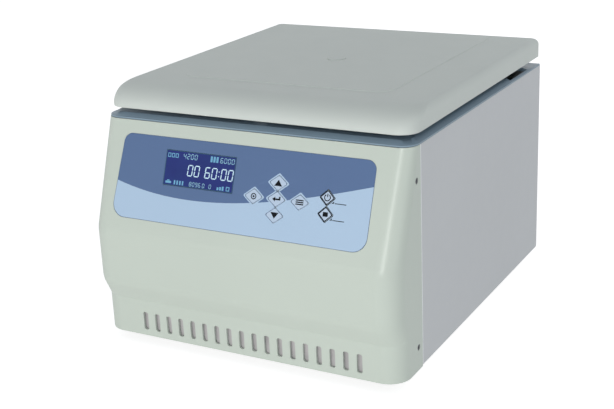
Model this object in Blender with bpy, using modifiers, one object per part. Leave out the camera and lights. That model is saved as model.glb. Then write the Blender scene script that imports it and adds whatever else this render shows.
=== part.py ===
# Benchtop centrifuge: a steel case with a moulded front, a swing-out rotor in its bowl and a hinged lid.
# Metres. +X to the right, +Y to the back, +Z up. The origin is on the floor under the case's middle.
import math

import bmesh
import bpy
from mathutils import Matrix, Vector

# The case, whose width, depth and height follow the chamber and the room kept round it
chamber_radius = 0.165
chamber_depth = 0.141
room_beside_chamber = 0.050
room_below_chamber = 0.140
foot_height = 0.014
sheet_wall = 0.0012
moulded_wall = 0.003
seat_gap = 0.0003
overrun = 0.004
seam_from_belly = 0.075
case_flange = 0.012
soft_edge = 0.0006
ribbon_least_share = 0.3
round_end_share = 0.999

# The front cover's profile, from the belly's plane back and from the panels' lower edge up
skirt_set_back = 0.0127
skirt_height = 0.049
belly_low = 0.074
belly_high = 0.144
top_set_back = 0.0535
skirt_bend = 0.008
belly_bend = 0.030
corner_radius_low = 0.028
corner_radius_top = 0.020

# The vent slots in the skirt
vent_count = 18
vent_pitch = 0.01815
vent_width = 0.0062
vent_height = 0.023
vent_foot = 0.009
vent_row_shift = 0.0065

# The deck
deck_edge = 0.002
deck_rise = 0.004
deck_bevel = 0.009
deck_field_back = 0.0378
well_width = 0.0215
well_length = 0.070
well_rim = 0.0035
well_from_back = 0.0463

# The lid
lid_gap = 0.011
lid_height = 0.0276
lid_front_set_back = 0.0035
lid_side_set_in = 0.0015
lid_wall = 0.003
lid_front_round_depth = 0.046
lid_front_round_height = 0.0245
lid_side_round = 0.009
lid_back_round = 0.007
lid_corner_radius = 0.024
lid_back_corner_radius = 0.004
lid_field_rise = 0.001
lid_field_from_side = 0.067
lid_field_front = 0.082
lid_field_radius = 0.018
lid_field_slope = 0.0015
liner_lift = 0.002
liner_back = 0.0155
port_radius = 0.0125
port_lip = 0.0015
port_proud = 0.0006

# The chamber and its bowl
chamber_floor_bend = 0.022
chamber_rim = 0.011
chamber_hole = 0.026
bowl_wall = 0.0012
bowl_clearance = 0.001
gasket_width = 0.007
gasket_inset = 0.0035

# The rotor
pivot_below_top = 0.055
swing_clearance = 0.009
yoke_past_pivot = 0.020
yoke_thickness = 0.014
yoke_slot_width = 0.066
yoke_slot_before_pivot = 0.032
hub_radius = 0.022
hub_below = 0.022
hub_above = 0.014
pin_radius = 0.004
pin_length = 0.0078
bucket_radius = 0.024
bucket_wall = 0.0022
bucket_floor = 0.004
bucket_above_floor = 0.022
bucket_rim = 0.012
bucket_lip = 0.0018
bucket_round = 0.008
ear_half_width = 0.0085
ear_above = 0.009
ear_below = 0.004
ear_gap = 0.0012
nut_radius = 0.016
nut_height = 0.018
nut_lobes = 8
shaft_radius = 0.006
collar_radius = 0.010
collar_height = 0.004
nut_lobe_share = 0.14
nut_bore_share = 0.7

# The motor
motor_radius = 0.055
motor_to_bowl = 0.0267
motor_flange_radius = 0.072
motor_flange = 0.004
mount_radius = 0.010
mount_height = 0.018
mount_circle = 0.062
bearing_radius = 0.016
bearing_height = 0.010
mount_waist_share = 0.75
boot_wall = 0.002
boot_foot_radius = 0.034

# The hinge
hinge_from_back = 0.0095
hinge_from_chamber = 0.040
hinge_lift = 0.009
hinge_rod_radius = 0.003
hinge_knuckle_radius = 0.005
hinge_leaf = 0.0015
hinge_leaf_length = 0.0215
hinge_width = 0.044
hinge_knuckle_width = 0.013
hinge_from_side = 0.075
hinge_pillar_back = 0.002

# The latch
striker_width = 0.018
striker_thickness = 0.002
striker_drop = 0.031
striker_window_width = 0.010
striker_window_height = 0.008
striker_foot = 0.004
striker_from_front = 0.031
striker_from_chamber = 0.0365
latch_slot_clearance = 0.003
hook_behind_striker = 0.007
hook_reach = 0.011
hook_height = 0.0155
hook_beak = 0.0035
hook_thickness = 0.008
hook_arm = 0.006
hook_pin_radius = 0.002
hook_pin_boss = 0.005
hook_open_angle = math.radians(25)
latch_cheek = 0.002

# The control face, from the cover's top edge down its slope
overlay_from_left = 0.037
overlay_flare = 0.006
overlay_from_right = 0.040
overlay_top = 0.019
overlay_low = 0.1265
overlay_radius = 0.012
overlay_thickness = 0.0009
overlay_recess = 0.0012
window_left = 0.112
window_right = 0.0105
window_top = 0.0345
window_low = 0.0785
window_radius = 0.001
window_thickness = 0.003
display_margin = 0.005
display_depth = 0.008
key_cross_x = 0.0513
key_cross_down = 0.078
key_step_across = 0.0313
key_step_down = 0.0194
key_half_width = 0.0125
key_half_height = 0.0092
key_radius = 0.0018
run_key_x = 0.118
run_key_step = 0.0196
run_key_half_width = 0.0098
run_key_half_height = 0.0092
key_thickness = 0.0009
key_proud = 0.0004
key_stem_radius = 0.003
key_stem_length = 0.0047
key_travel = 0.0004
board_thickness = 0.0016
board_depth = 0.008
board_left = 0.004
board_right = 0.134
board_top = 0.046
board_low = 0.110
board_post_radius = 0.003
board_post_inset = 0.005
tact_width = 0.006

# The rear panel and what it holds
rear_inset = 0.008
rear_flange = 0.010
fan_from_side = 0.085
fan_z = 0.095
fan_size = 0.080
fan_depth = 0.025
fan_bore = 0.0375
fan_hub_radius = 0.018
fan_blade_gap = 0.0015
fan_blades = 7
fan_blade_width = 0.014
fan_blade_thickness = 0.0016
fan_blade_pitch = math.radians(38)
fan_post_radius = 0.0028
fan_strut_width = 0.004
fan_strut_depth = 0.004
guard_wire = 0.0009
guard_ring_share = (0.34, 0.67, 1.0)
guard_spokes = 2
guard_spoke_share = 0.9
guard_tab_radius = 0.003
inlet_from_side = 0.090
inlet_z = 0.070
inlet_width = 0.030
inlet_height = 0.066
inlet_flange = 0.003
inlet_lip = 0.0025
inlet_depth = 0.028
socket_width = 0.0245
socket_height = 0.0165
socket_depth = 0.017
socket_drop = 0.016
blade_length = 0.010
blade_thickness = 0.002
blade_width = 0.004
blade_step = 0.007
fuse_height = 0.010
rocker_rise = 0.0185
rocker_width = 0.0135
rocker_height = 0.0195
rocker_depth = 0.010
rocker_proud = 0.0012
rocker_tilt = math.radians(9)
rocker_clear_share = 0.06
rocker_back_share = 0.6
rocker_pin_radius = 0.0012

# What stands on the base pan
pan_front = 0.042
pan_flange = 0.016
foot_radius = 0.016
foot_toe_radius = 0.013
foot_in_x = 0.050
foot_in_y = 0.060
transformer_size = (0.066, 0.080, 0.062)
transformer_core = 0.018
coil_lift_share = 0.18
coil_width_share = 0.8
drive_size = (0.070, 0.120, 0.050)
drive_fins = 7
drive_fin_height = 0.018
box_from_side = 0.065
box_from_front = 0.150

# The cover screws
screw_head_radius = 0.0036
screw_length = 0.009
screw_shank_radius = 0.0015
screw_low = 0.030
screw_high = 0.2385
screw_before_seam = 0.0115
screw_sink = 0.0004
screw_head_height = 0.002
screw_slot_share = 0.6

case_width = 2 * (chamber_radius + room_beside_chamber)
case_height = room_below_chamber + chamber_depth
chamber_from_back = chamber_radius + hinge_from_chamber + hinge_from_back
striker_from_case_front = top_set_back + lid_front_set_back + striker_from_front
case_depth = striker_from_case_front + striker_from_chamber + chamber_radius + chamber_from_back
front = -case_depth / 2
back = case_depth / 2
half = case_width / 2
floor_z = foot_height
seam = front + seam_from_belly
face_top_y = front + top_set_back
case_top = foot_height + case_height
wall_top = case_top - deck_edge - seat_gap
field_top = case_top + deck_rise
lid_low = case_top + lid_gap
lid_top = lid_low + lid_height - lid_field_rise
lid_front = face_top_y + lid_front_set_back
liner_z = lid_low + liner_lift
axis_y = back - chamber_from_back
bowl_floor = foot_height + room_below_chamber
bowl_rim_z = field_top + seat_gap
pivot_z = case_top - pivot_below_top
bucket_depth = chamber_depth - pivot_below_top - bucket_floor - bucket_above_floor
pivot_radius = chamber_radius - swing_clearance - bucket_floor - bucket_depth
yoke_radius = pivot_radius + yoke_past_pivot
yoke_slot_start = pivot_radius - yoke_slot_before_pivot
pan_z = foot_height + sheet_wall + seat_gap
pan_top = pan_z + sheet_wall
motor_height = bowl_floor - motor_to_bowl - mount_height - 2 * seat_gap - pan_top
hinge_y = back - hinge_from_back
hinge_z = case_top + hinge_lift
slope_angle = math.atan2(top_set_back, case_height - belly_high)
rear_face = back - rear_inset
lid_field_half_width = half - lid_field_from_side
hinge_place = half - hinge_from_side
overlay_left_top = half - overlay_from_left
overlay_left_low = overlay_left_top + overlay_flare
overlay_right = half - overlay_from_right
fan_x = half - fan_from_side
inlet_x = half - inlet_from_side
box_side = half - box_from_side


# The scene and its two collections
def clear_scene():
    for thing in list(bpy.data.objects):
        bpy.data.objects.remove(thing, do_unlink=True)


def new_collection(name):
    group = bpy.data.collections.new(name)
    bpy.context.scene.collection.children.link(group)
    return group


clear_scene()
parts = new_collection("benchtop_centrifuge")
cutters = new_collection("cutters")


# Materials, one for each kind of surface
def surface(name, colour, roughness, metallic=0.0):
    kind = bpy.data.materials.new(name)
    kind.use_nodes = True
    shader = kind.node_tree.nodes["Principled BSDF"]
    shader.inputs["Base Color"].default_value = (*colour, 1.0)
    shader.inputs["Roughness"].default_value = roughness
    shader.inputs["Metallic"].default_value = metallic
    kind.diffuse_color = (*colour, 1.0)
    return kind


def finish(thing, colour, roughness, metallic=0.0):
    thing.data.materials.clear()
    thing.data.materials.append(surface(thing.name, colour, roughness, metallic))
    return thing


cream = ((0.56, 0.60, 0.55), 0.35, 0.0)
lid_grey = ((0.56, 0.60, 0.60), 0.32, 0.0)
panel_grey = ((0.42, 0.44, 0.46), 0.45, 0.0)
deck_grey = ((0.30, 0.34, 0.38), 0.5, 0.0)
overlay_blue = ((0.13, 0.19, 0.36), 0.35, 0.0)
window_indigo = ((0.04, 0.03, 0.20), 0.08, 0.0)
key_pale = ((0.72, 0.78, 0.86), 0.4, 0.0)
stainless = ((0.62, 0.63, 0.64), 0.28, 1.0)
steel = ((0.55, 0.56, 0.58), 0.35, 1.0)
alloy = ((0.70, 0.71, 0.73), 0.38, 1.0)
rubber = ((0.025, 0.025, 0.027), 0.8, 0.0)
black_plastic = ((0.03, 0.03, 0.032), 0.45, 0.0)
board_green = ((0.03, 0.16, 0.07), 0.45, 0.0)
copper_brown = ((0.35, 0.16, 0.07), 0.4, 0.6)
zinc = ((0.60, 0.61, 0.60), 0.4, 1.0)


# Points
def filleted(points, radii, steps, closed=False):
    """The polyline with each corner of a radius over zero turned into an arc."""
    rounded = []
    count = len(points)
    for i, point in enumerate(points):
        here = Vector(point)
        if radii[i] <= 0 or (not closed and i in (0, count - 1)):
            rounded.append(here)
            continue
        before = (Vector(points[i - 1]) - here).normalized()
        after = (Vector(points[(i + 1) % count]) - here).normalized()
        half_angle = before.angle(after) / 2
        reach = radii[i] / math.tan(half_angle)
        middle = here + (before + after).normalized() * radii[i] / math.sin(half_angle)
        start = here + before * reach - middle
        end = here + after * reach - middle
        for k in range(steps + 1):
            share = k / steps
            turn = math.pi - 2 * half_angle
            arm = start * math.sin((1 - share) * turn) + end * math.sin(share * turn)
            rounded.append(middle + arm / math.sin(turn))
    return rounded


def ribbon(points, wall):
    """A closed outline: the polyline, and the same line moved to its left by the wall."""
    moved = []
    for i, point in enumerate(points):
        here = Vector(point)
        into = (here - Vector(points[i - 1])).normalized() if i else None
        out = (Vector(points[i + 1]) - here).normalized() if i + 1 < len(points) else None
        into = into or out
        out = out or into
        bisector = (into + out).normalized()
        left = Vector((-bisector.y, bisector.x))
        moved.append(here + left * wall / max(bisector.dot(out), ribbon_least_share))
    return [Vector(p) for p in points] + moved[::-1]


def circle(radius, count, centre=(0.0, 0.0)):
    ring = []
    for i in range(count):
        angle = 2 * math.pi * i / count
        ring.append((centre[0] + radius * math.cos(angle), centre[1] + radius * math.sin(angle)))
    return ring


def stadium(width, height, steps):
    """An upright slot's outline with round ends, about its middle."""
    w = width / 2
    h = height / 2
    corners = [(-w, -h), (w, -h), (w, h), (-w, h)]
    return filleted(corners, [w * round_end_share] * 4, steps, closed=True)


# Objects
def add_object(name, mesh, group=None):
    thing = bpy.data.objects.new(name, mesh)
    (group or parts).objects.link(thing)
    return thing


def from_bmesh(name, shape, group=None):
    bmesh.ops.recalc_face_normals(shape, faces=shape.faces)
    mesh = bpy.data.meshes.new(name)
    shape.to_mesh(mesh)
    shape.free()
    return add_object(name, mesh, group)


def box(name, low, high, group=None):
    shape = bmesh.new()
    bmesh.ops.create_cube(shape, size=1.0)
    for vert in shape.verts:
        for i in range(3):
            vert.co[i] = high[i] if vert.co[i] > 0 else low[i]
    return from_bmesh(name, shape, group)


def cylinder(name, radius, start, end, segments=32, group=None):
    start = Vector(start)
    end = Vector(end)
    shape = bmesh.new()
    bmesh.ops.create_cone(shape, cap_ends=True, segments=segments, radius1=radius, radius2=radius,
                          depth=(end - start).length)
    turn = (end - start).to_track_quat("Z", "Y").to_matrix().to_4x4()
    bmesh.ops.transform(shape, matrix=Matrix.Translation((start + end) / 2) @ turn, verts=shape.verts)
    return from_bmesh(name, shape, group)


def prism(name, outlines, low, high, group=None, frame=None):
    """A flat outline, with any holes, given a thickness from low to high along its own Z."""
    curve = bpy.data.curves.new(name, "CURVE")
    curve.dimensions = "2D"
    curve.fill_mode = "BOTH"
    curve.render_resolution_u = 0
    curve.extrude = (high - low) / 2
    for outline in outlines:
        spline = curve.splines.new("POLY")
        spline.points.add(len(outline) - 1)
        spline.use_cyclic_u = True
        for point, place in zip(spline.points, outline):
            point.co = (place[0], place[1], 0.0, 1.0)
    guide = bpy.data.objects.new(name + "_outline", curve)
    bpy.context.scene.collection.objects.link(guide)
    bpy.context.view_layer.update()
    evaluated = guide.evaluated_get(bpy.context.evaluated_depsgraph_get())
    mesh = bpy.data.meshes.new_from_object(evaluated)
    bpy.data.objects.remove(guide, do_unlink=True)
    shape = bmesh.new()
    shape.from_mesh(mesh)
    bpy.data.meshes.remove(mesh)
    bmesh.ops.remove_doubles(shape, verts=shape.verts, dist=seat_gap / 100)
    placed = (frame or Matrix()) @ Matrix.Translation((0, 0, (low + high) / 2))
    bmesh.ops.transform(shape, matrix=placed, verts=shape.verts)
    return from_bmesh(name, shape, group)


def turned(name, outline, centre, segments=48, group=None):
    """A closed outline of radius and height turned about an upright axis through centre."""
    places = [Vector(p) for p in outline]
    area = sum(a.x * b.y - b.x * a.y for a, b in zip(places, places[1:] + places[:1]))
    if area > 0:
        places.reverse()
    open_at_axis = places[0].x == 0 and places[-1].x == 0
    shape = bmesh.new()
    verts = [shape.verts.new((p.x, 0.0, p.y)) for p in places]
    pairs = list(zip(verts, verts[1:]))
    if not open_at_axis:
        pairs.append((verts[-1], verts[0]))
    for pair in pairs:
        shape.edges.new(pair)
    mesh = bpy.data.meshes.new(name)
    shape.to_mesh(mesh)
    shape.free()
    thing = add_object(name, mesh, group)
    thing.location = centre
    screw = thing.modifiers.new("turn", "SCREW")
    screw.steps = segments
    screw.render_steps = segments
    screw.use_merge_vertices = True
    screw.merge_threshold = seat_gap / 15
    return thing


def loft(name, rings, cap_first=False, cap_last=False, closed=True, group=None):
    """A surface through rings of as many points each."""
    shape = bmesh.new()
    rows = [[shape.verts.new(p) for p in ring] for ring in rings]
    count = len(rows[0])
    for low, high in zip(rows, rows[1:]):
        for i in range(count if closed else count - 1):
            j = (i + 1) % count
            shape.faces.new((low[i], low[j], high[j], high[i]))
    if cap_first:
        shape.faces.new(rows[0][::-1])
    if cap_last:
        shape.faces.new(rows[-1])
    return from_bmesh(name, shape, group)


# Modifiers
def as_cutter(thing):
    thing.display_type = "WIRE"
    thing.hide_render = True
    for group in list(thing.users_collection):
        group.objects.unlink(thing)
    cutters.objects.link(thing)
    return thing


def boolean(target, other, operation):
    as_cutter(other)
    step = target.modifiers.new(other.name, "BOOLEAN")
    step.operation = operation
    step.solver = "EXACT"
    step.object = other
    return target


def cut(target, *others):
    for other in others:
        boolean(target, other, "DIFFERENCE")
    return target


def join(target, *others):
    for other in others:
        boolean(target, other, "UNION")
    return target


def solidify(thing, wall, offset=-1.0):
    step = thing.modifiers.new("wall", "SOLIDIFY")
    step.thickness = wall
    step.offset = offset
    step.use_even_offset = True
    return thing


def bevel(thing, width, segments=1, angle=math.radians(40)):
    step = thing.modifiers.new("edges", "BEVEL")
    step.width = width
    step.segments = segments
    step.limit_method = "ANGLE"
    step.angle_limit = angle
    return thing


def smooth(thing, angle=math.radians(35)):
    if thing.data.polygons:
        thing.data.shade_smooth()
        thing.data.set_sharp_from_angle(angle=angle)
    return thing


def move_origin(thing, place):
    """The mesh stays where it is, and the object's origin goes to the place."""
    shift = Matrix.Translation(-Vector(place))
    thing.data.transform(shift)
    thing.location = place
    return thing


# The case's shells
def cover_profile():
    """Set back from the belly and height above the panels' lower edge, from the foot to the top."""
    places = [
        (skirt_set_back, 0.0),
        (skirt_set_back, skirt_height),
        (0.0, belly_low),
        (0.0, belly_high),
        (slope_set_back(wall_top - floor_z), wall_top - floor_z),
    ]
    return filleted(places, [0.0, skirt_bend, belly_bend, belly_bend, 0.0], 4)


def slope_set_back(height):
    return top_set_back * (height - belly_high) / (case_height - belly_high)


def cover_plan(set_back, radius):
    """Half a rounded front from the left seam to the right one, at one height."""
    edge = seam - seat_gap
    corners = [(-half, edge), (-half, front + set_back), (half, front + set_back), (half, edge)]
    return filleted(corners, [0.0, radius, radius, 0.0], 6)


def make_front_cover():
    rings = []
    for set_back, height in cover_profile():
        share = max(0.0, (height - belly_high) / (case_height - belly_high))
        radius = corner_radius_low + (corner_radius_top - corner_radius_low) * share
        rings.append([(p[0], p[1], floor_z + height) for p in cover_plan(set_back, radius)])
    cover = loft("front_cover", rings, closed=False)
    solidify(cover, moulded_wall)
    cutter = prism("vent_cutter", vent_outlines(), -overrun, skirt_set_back + overrun, frame=vent_frame())
    cut(cover, cutter)
    outlines = [overlay_outline(0.0)]
    cut(cover, prism("overlay_recess", outlines, -overlay_recess, overrun, frame=face_frame()))
    window = rectangle(-window_left, -window_low, -window_right, -window_top, window_radius, -seat_gap)
    cut(cover, prism("window_hole", [window], -moulded_wall - overrun, overrun, frame=face_frame()))
    holes = [circle(key_stem_radius + 2 * seat_gap, 12, place) for place, _ in key_places().values()]
    cut(cover, prism("key_holes", holes, -moulded_wall - overrun, overrun, frame=face_frame()))
    return finish(smooth(cover), *cream)


def vent_frame():
    middle = floor_z + vent_foot + vent_height / 2
    turn = Matrix.Rotation(math.radians(90), 4, "X")
    return Matrix.Translation((vent_row_shift, front + skirt_set_back + overrun, middle)) @ turn


def vent_outlines():
    first = -vent_pitch * (vent_count - 1) / 2
    slot = stadium(vent_width, vent_height, 2)
    return [[(p.x + first + vent_pitch * i, p.y) for p in slot] for i in range(vent_count)]


def face_frame():
    """The sloped face's own frame: X to the right, Y up the slope, Z out of the face, from its top edge."""
    place = Matrix.Translation((0.0, face_top_y, case_top))
    return place @ Matrix.Rotation(math.radians(90) - slope_angle, 4, "X")


def rectangle(left, low, right, top, radius, inset=0.0):
    corners = [(left, low), (right, low), (right, top), (left, top)]
    rounded = filleted(corners, [radius] * 4, 3, closed=True)
    middle = Vector(((left + right) / 2, (low + top) / 2))
    shrink_x = 1 - 2 * inset / (right - left)
    shrink_y = 1 - 2 * inset / (top - low)
    shrunk = []
    for p in rounded:
        shrunk.append(((p.x - middle.x) * shrink_x + middle.x, (p.y - middle.y) * shrink_y + middle.y))
    return shrunk


def overlay_outline(inset):
    corners = [
        (-overlay_left_low + inset, -overlay_low + inset),
        (overlay_right - inset, -overlay_low + inset),
        (overlay_right - inset, -overlay_top - inset),
        (-overlay_left_top + inset, -overlay_top - inset),
    ]
    return filleted(corners, [overlay_radius] * 4, 5, closed=True)


def diamond(half_width, half_height, radius, centre):
    corners = [(-half_width, 0), (0, -half_height), (half_width, 0), (0, half_height)]
    return [(p.x + centre[0], p.y + centre[1]) for p in filleted(corners, [radius] * 4, 2, closed=True)]


def key_places():
    """Each key's middle on the face, and its half width and height."""
    big = (key_half_width, key_half_height)
    small = (run_key_half_width, run_key_half_height)
    across = key_step_across
    down = key_step_down
    return {
        "key_enter": ((key_cross_x, -key_cross_down), big),
        "key_up": ((key_cross_x, -key_cross_down + down), big),
        "key_down": ((key_cross_x, -key_cross_down - down), big),
        "key_set": ((key_cross_x - across, -key_cross_down), big),
        "key_program": ((key_cross_x + across, -key_cross_down), big),
        "key_start": ((run_key_x, -key_cross_down + run_key_step / 2), small),
        "key_stop": ((run_key_x, -key_cross_down - run_key_step / 2), small),
    }


def make_side_panel(name, side):
    """A flat sheet with its lower edge folded inwards."""
    outer = side * (half - sheet_wall / 2)
    inner = side * (half - case_flange)
    fold = floor_z + sheet_wall / 2
    path = [(outer, wall_top), (outer, fold), (inner, fold)]
    path = filleted(path, [0.0, 2 * sheet_wall, 0.0], 2)
    rings = [[(p.x, y, p.y) for p in path] for y in (seam, back)]
    return finish(smooth(solidify(loft(name, rings, closed=False), sheet_wall, 0.0)), *panel_grey)


def make_base_pan():
    """A tray with its two sides turned up, on the side panels' lower folds."""
    reach = half - moulded_wall - 2 * seat_gap - sheet_wall / 2
    middle = pan_z + sheet_wall / 2
    path = [(-reach, middle + pan_flange), (-reach, middle), (reach, middle), (reach, middle + pan_flange)]
    path = filleted(path, [0.0, 2 * sheet_wall, 2 * sheet_wall, 0.0], 2)
    ends = (front + pan_front, rear_face - 4 * sheet_wall)
    rings = [[(p.x, y, p.y) for p in path] for y in ends]
    return finish(smooth(solidify(loft("base_pan", rings, closed=False), sheet_wall, 0.0)), *zinc)


def make_rear_panel():
    """An upright sheet with both sides folded forward against the side panels."""
    reach = half - sheet_wall - seat_gap - sheet_wall / 2
    plane = rear_face - sheet_wall / 2
    path = [(-reach, plane - rear_flange), (-reach, plane), (reach, plane), (reach, plane - rear_flange)]
    path = filleted(path, [0.0, 2 * sheet_wall, 2 * sheet_wall, 0.0], 2)
    low = pan_z + 2 * sheet_wall
    rings = [[(p.x, p.y, z) for p in path] for z in (low, wall_top)]
    panel = solidify(loft("rear_panel", rings, closed=False), sheet_wall, 0.0)
    cut(panel, cylinder("fan_hole", fan_bore, (fan_x, plane - overrun, fan_height()),
                        (fan_x, plane + overrun, fan_height()), 32))
    edge = inlet_lip + seat_gap
    low_x = -inlet_x - inlet_width / 2 + edge
    high_x = -inlet_x + inlet_width / 2 - edge
    low_z = inlet_height_place() - inlet_height / 2 + edge
    high_z = inlet_height_place() + inlet_height / 2 - edge
    cut(panel, box("inlet_hole", (low_x, plane - overrun, low_z), (high_x, plane + overrun, high_z)))
    return finish(smooth(panel), *panel_grey)


def fan_height():
    return floor_z + fan_z


def inlet_height_place():
    return floor_z + inlet_z


# The deck
def case_outline(inset, back_edge, front_radius, back_radius):
    corners = [
        (-half + inset, back_edge - inset),
        (-half + inset, face_top_y + inset),
        (half - inset, face_top_y + inset),
        (half - inset, back_edge - inset),
    ]
    radii = [back_radius, front_radius, front_radius, back_radius]
    return filleted(corners, radii, 6, closed=True)


def make_top_deck():
    base_outline = case_outline(0.0, back, corner_radius_top, 2 * soft_edge)
    deck = prism("top_deck", [base_outline], case_top - deck_edge, case_top)
    rings = []
    foot_inset = 2 * soft_edge
    edge = back - deck_field_back + foot_inset
    levels = ((foot_inset, case_top - deck_edge / 2), (foot_inset, case_top), (deck_bevel, field_top))
    for inset, z in levels:
        radius = corner_radius_top - inset / 2
        outline = case_outline(inset, edge, radius, deck_bevel)
        rings.append([(p.x, p.y, z) for p in outline])
    join(deck, loft("deck_field", rings, cap_first=True, cap_last=True))
    low = case_top - deck_edge - overrun
    high = field_top + overrun
    opening = chamber_radius + bowl_wall + bowl_clearance
    cut(deck, cylinder("deck_opening", opening, (0, axis_y, low), (0, axis_y, high), 40))
    for side in (-1, 1):
        outer = side * (half - well_rim)
        inner = side * (half - well_rim - well_width)
        well_end = back - well_from_back
        corner = (min(outer, inner), well_end - well_length, low)
        cut(deck, box("deck_well", corner, (max(outer, inner), well_end, high)))
    slot = striker_width / 2 + latch_slot_clearance
    slot_front = striker_y() - striker_thickness / 2 - latch_slot_clearance
    slot_back = striker_y() + striker_thickness / 2 + latch_slot_clearance
    cut(deck, box("latch_slot", (-slot, slot_front, low), (slot, slot_back, high)))
    return finish(smooth(deck), *deck_grey)


def striker_y():
    return face_top_y + striker_from_front


# The chamber
def make_chamber_bowl():
    radius = chamber_radius
    path = [
        (radius + chamber_rim, bowl_rim_z + bowl_wall),
        (radius, bowl_rim_z + bowl_wall),
        (radius, bowl_floor),
        (chamber_hole, bowl_floor),
        (chamber_hole, bowl_floor + 3 * bowl_wall),
    ]
    path = filleted(path, [0.0, 0.0, chamber_floor_bend, 0.0, 0.0], 4)
    bowl = turned("chamber_bowl", ribbon(path, bowl_wall), (0, axis_y, 0), 40)
    return finish(smooth(bowl), *stainless)


def make_chamber_gasket():
    """A rubber ring on the bowl's rim, with a rounded crown that meets the lid's liner."""
    inner = chamber_radius + gasket_inset
    low = bowl_rim_z + bowl_wall + seat_gap
    high = liner_z - seat_gap
    corners = [(inner, low), (inner, high), (inner + gasket_width, high), (inner + gasket_width, low)]
    crown = gasket_width / 3
    outline = filleted(corners, [0.0, crown, crown, 0.0], 2, closed=True)
    return finish(smooth(turned("chamber_gasket", outline, (0, axis_y, 0), 40)), *rubber)


# The lid
def lid_outline(height, shrink=0.0):
    """The lid's plan at one height above its lower edge, drawn in as its top edges round over."""
    crown = lid_height - lid_field_rise

    def drawn_in(depth, rise):
        over = height - (crown - rise)
        return depth * (1 - math.sqrt(max(0.0, 1 - (over / rise) ** 2))) if over > 0 else 0.0

    side = half - lid_side_set_in - drawn_in(lid_side_round, lid_side_round) - shrink
    low = lid_front + drawn_in(lid_front_round_depth, lid_front_round_height) + shrink
    high = back - drawn_in(lid_back_round, lid_back_round) - shrink
    radius = lid_corner_radius
    small = lid_back_corner_radius
    corners = [(-side, high), (-side, low), (side, low), (side, high)]
    return filleted(corners, [small, radius, radius, small], 6, closed=True)


def lid_rings():
    """Heights crowd towards the top, where the front edge rounds over."""
    crown = lid_height - lid_field_rise
    rings = [[(p.x, p.y, lid_low) for p in lid_outline(0.0)]]
    steps = 9
    start = crown - lid_front_round_height
    for i in range(1, steps + 1):
        height = start + (crown - start) * math.sin(math.pi / 2 * i / steps)
        rings.append([(p.x, p.y, lid_low + height) for p in lid_outline(height)])
    return rings


def make_lid_shell():
    lid = loft("lid_shell", lid_rings(), cap_last=True)
    solidify(lid, lid_wall)
    join(lid, make_lid_field())
    hole = port_radius - port_lip
    low = lid_top - lid_wall - overrun
    cut(lid, cylinder("port_hole", hole, (0, axis_y, low), (0, axis_y, lid_top + overrun), 32))
    seat = port_radius + seat_gap
    seat_z = lid_top + lid_field_rise - port_lip
    cut(lid, cylinder("port_seat", seat, (0, axis_y, seat_z), (0, axis_y, lid_top + overrun), 32))
    return finish(smooth(lid), *lid_grey)


def make_lid_field():
    """The low raised field on the lid's top, with a slight slope round it."""
    rings = []
    levels = ((0.0, lid_top - lid_wall / 2), (0.0, lid_top), (lid_field_slope, lid_top + lid_field_rise))
    for inset, z in levels:
        side = lid_field_half_width - inset
        low = face_top_y + lid_field_front + inset
        high = back - 2 * lid_back_round - inset
        radius = lid_field_radius - inset
        corners = [(-side, high), (-side, low), (side, low), (side, high)]
        outline = filleted(corners, [radius] * 4, 4, closed=True)
        rings.append([(p.x, p.y, z) for p in outline])
    return loft("lid_field", rings, cap_first=True, cap_last=True)


def make_lid_liner():
    """The steel plate under the lid, which meets the gasket."""
    inset = lid_wall + 2 * seat_gap
    side = half - lid_side_set_in - inset
    low = lid_front + inset
    high = back - liner_back
    radius = lid_corner_radius - inset
    corners = [(-side, high), (-side, low), (side, low), (side, high)]
    outline = filleted(corners, [0.0, radius, radius, 0.0], 4, closed=True)
    hole = circle(port_radius - port_lip, 24, (0.0, axis_y))
    plate = prism("lid_liner", [outline, hole], liner_z, liner_z + sheet_wall)
    return finish(plate, *stainless)


def make_port_window():
    seat_z = lid_top + lid_field_rise - port_lip + seat_gap
    crown_z = lid_top + lid_field_rise + port_proud
    stem = port_radius - port_lip - seat_gap
    outline = [
        (0.0, crown_z),
        (port_radius - port_lip, crown_z),
        (port_radius, crown_z - port_proud),
        (port_radius, seat_z),
        (stem, seat_z),
        (stem, lid_top - lid_wall),
        (0.0, lid_top - lid_wall),
    ]
    window = turned("port_window", outline, (0, axis_y, 0), 28)
    return finish(smooth(window), *lid_grey)


# The lid's hinge
def make_hinge_bracket(name, side):
    """The fixed half: a leaf on the deck and two knuckles on pillars."""
    middle = side * hinge_place
    wide = hinge_width / 2
    low = case_top + seat_gap
    leaf_front = hinge_y - hinge_leaf_length
    leaf_back = hinge_y + hinge_pillar_back
    bracket = box(name, (middle - wide, leaf_front, low), (middle + wide, leaf_back, low + hinge_leaf))
    for end in (-1, 1):
        outer = middle + end * wide
        inner = middle + end * (wide - hinge_knuckle_width)
        sides = sorted((outer, inner))
        foot = (sides[0], hinge_y - hinge_knuckle_radius, low + hinge_leaf / 2)
        join(bracket, box("pillar", foot, (sides[1], leaf_back, hinge_z)))
        start = (sides[0], hinge_y, hinge_z)
        join(bracket, cylinder("knuckle", hinge_knuckle_radius, start, (sides[1], hinge_y, hinge_z), 14))
    ends = [(middle + end * (wide + overrun), hinge_y, hinge_z) for end in (-1, 1)]
    cut(bracket, cylinder("knuckle_bore", hinge_rod_radius + seat_gap, *ends, 14))
    return finish(bracket, *steel)


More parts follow.
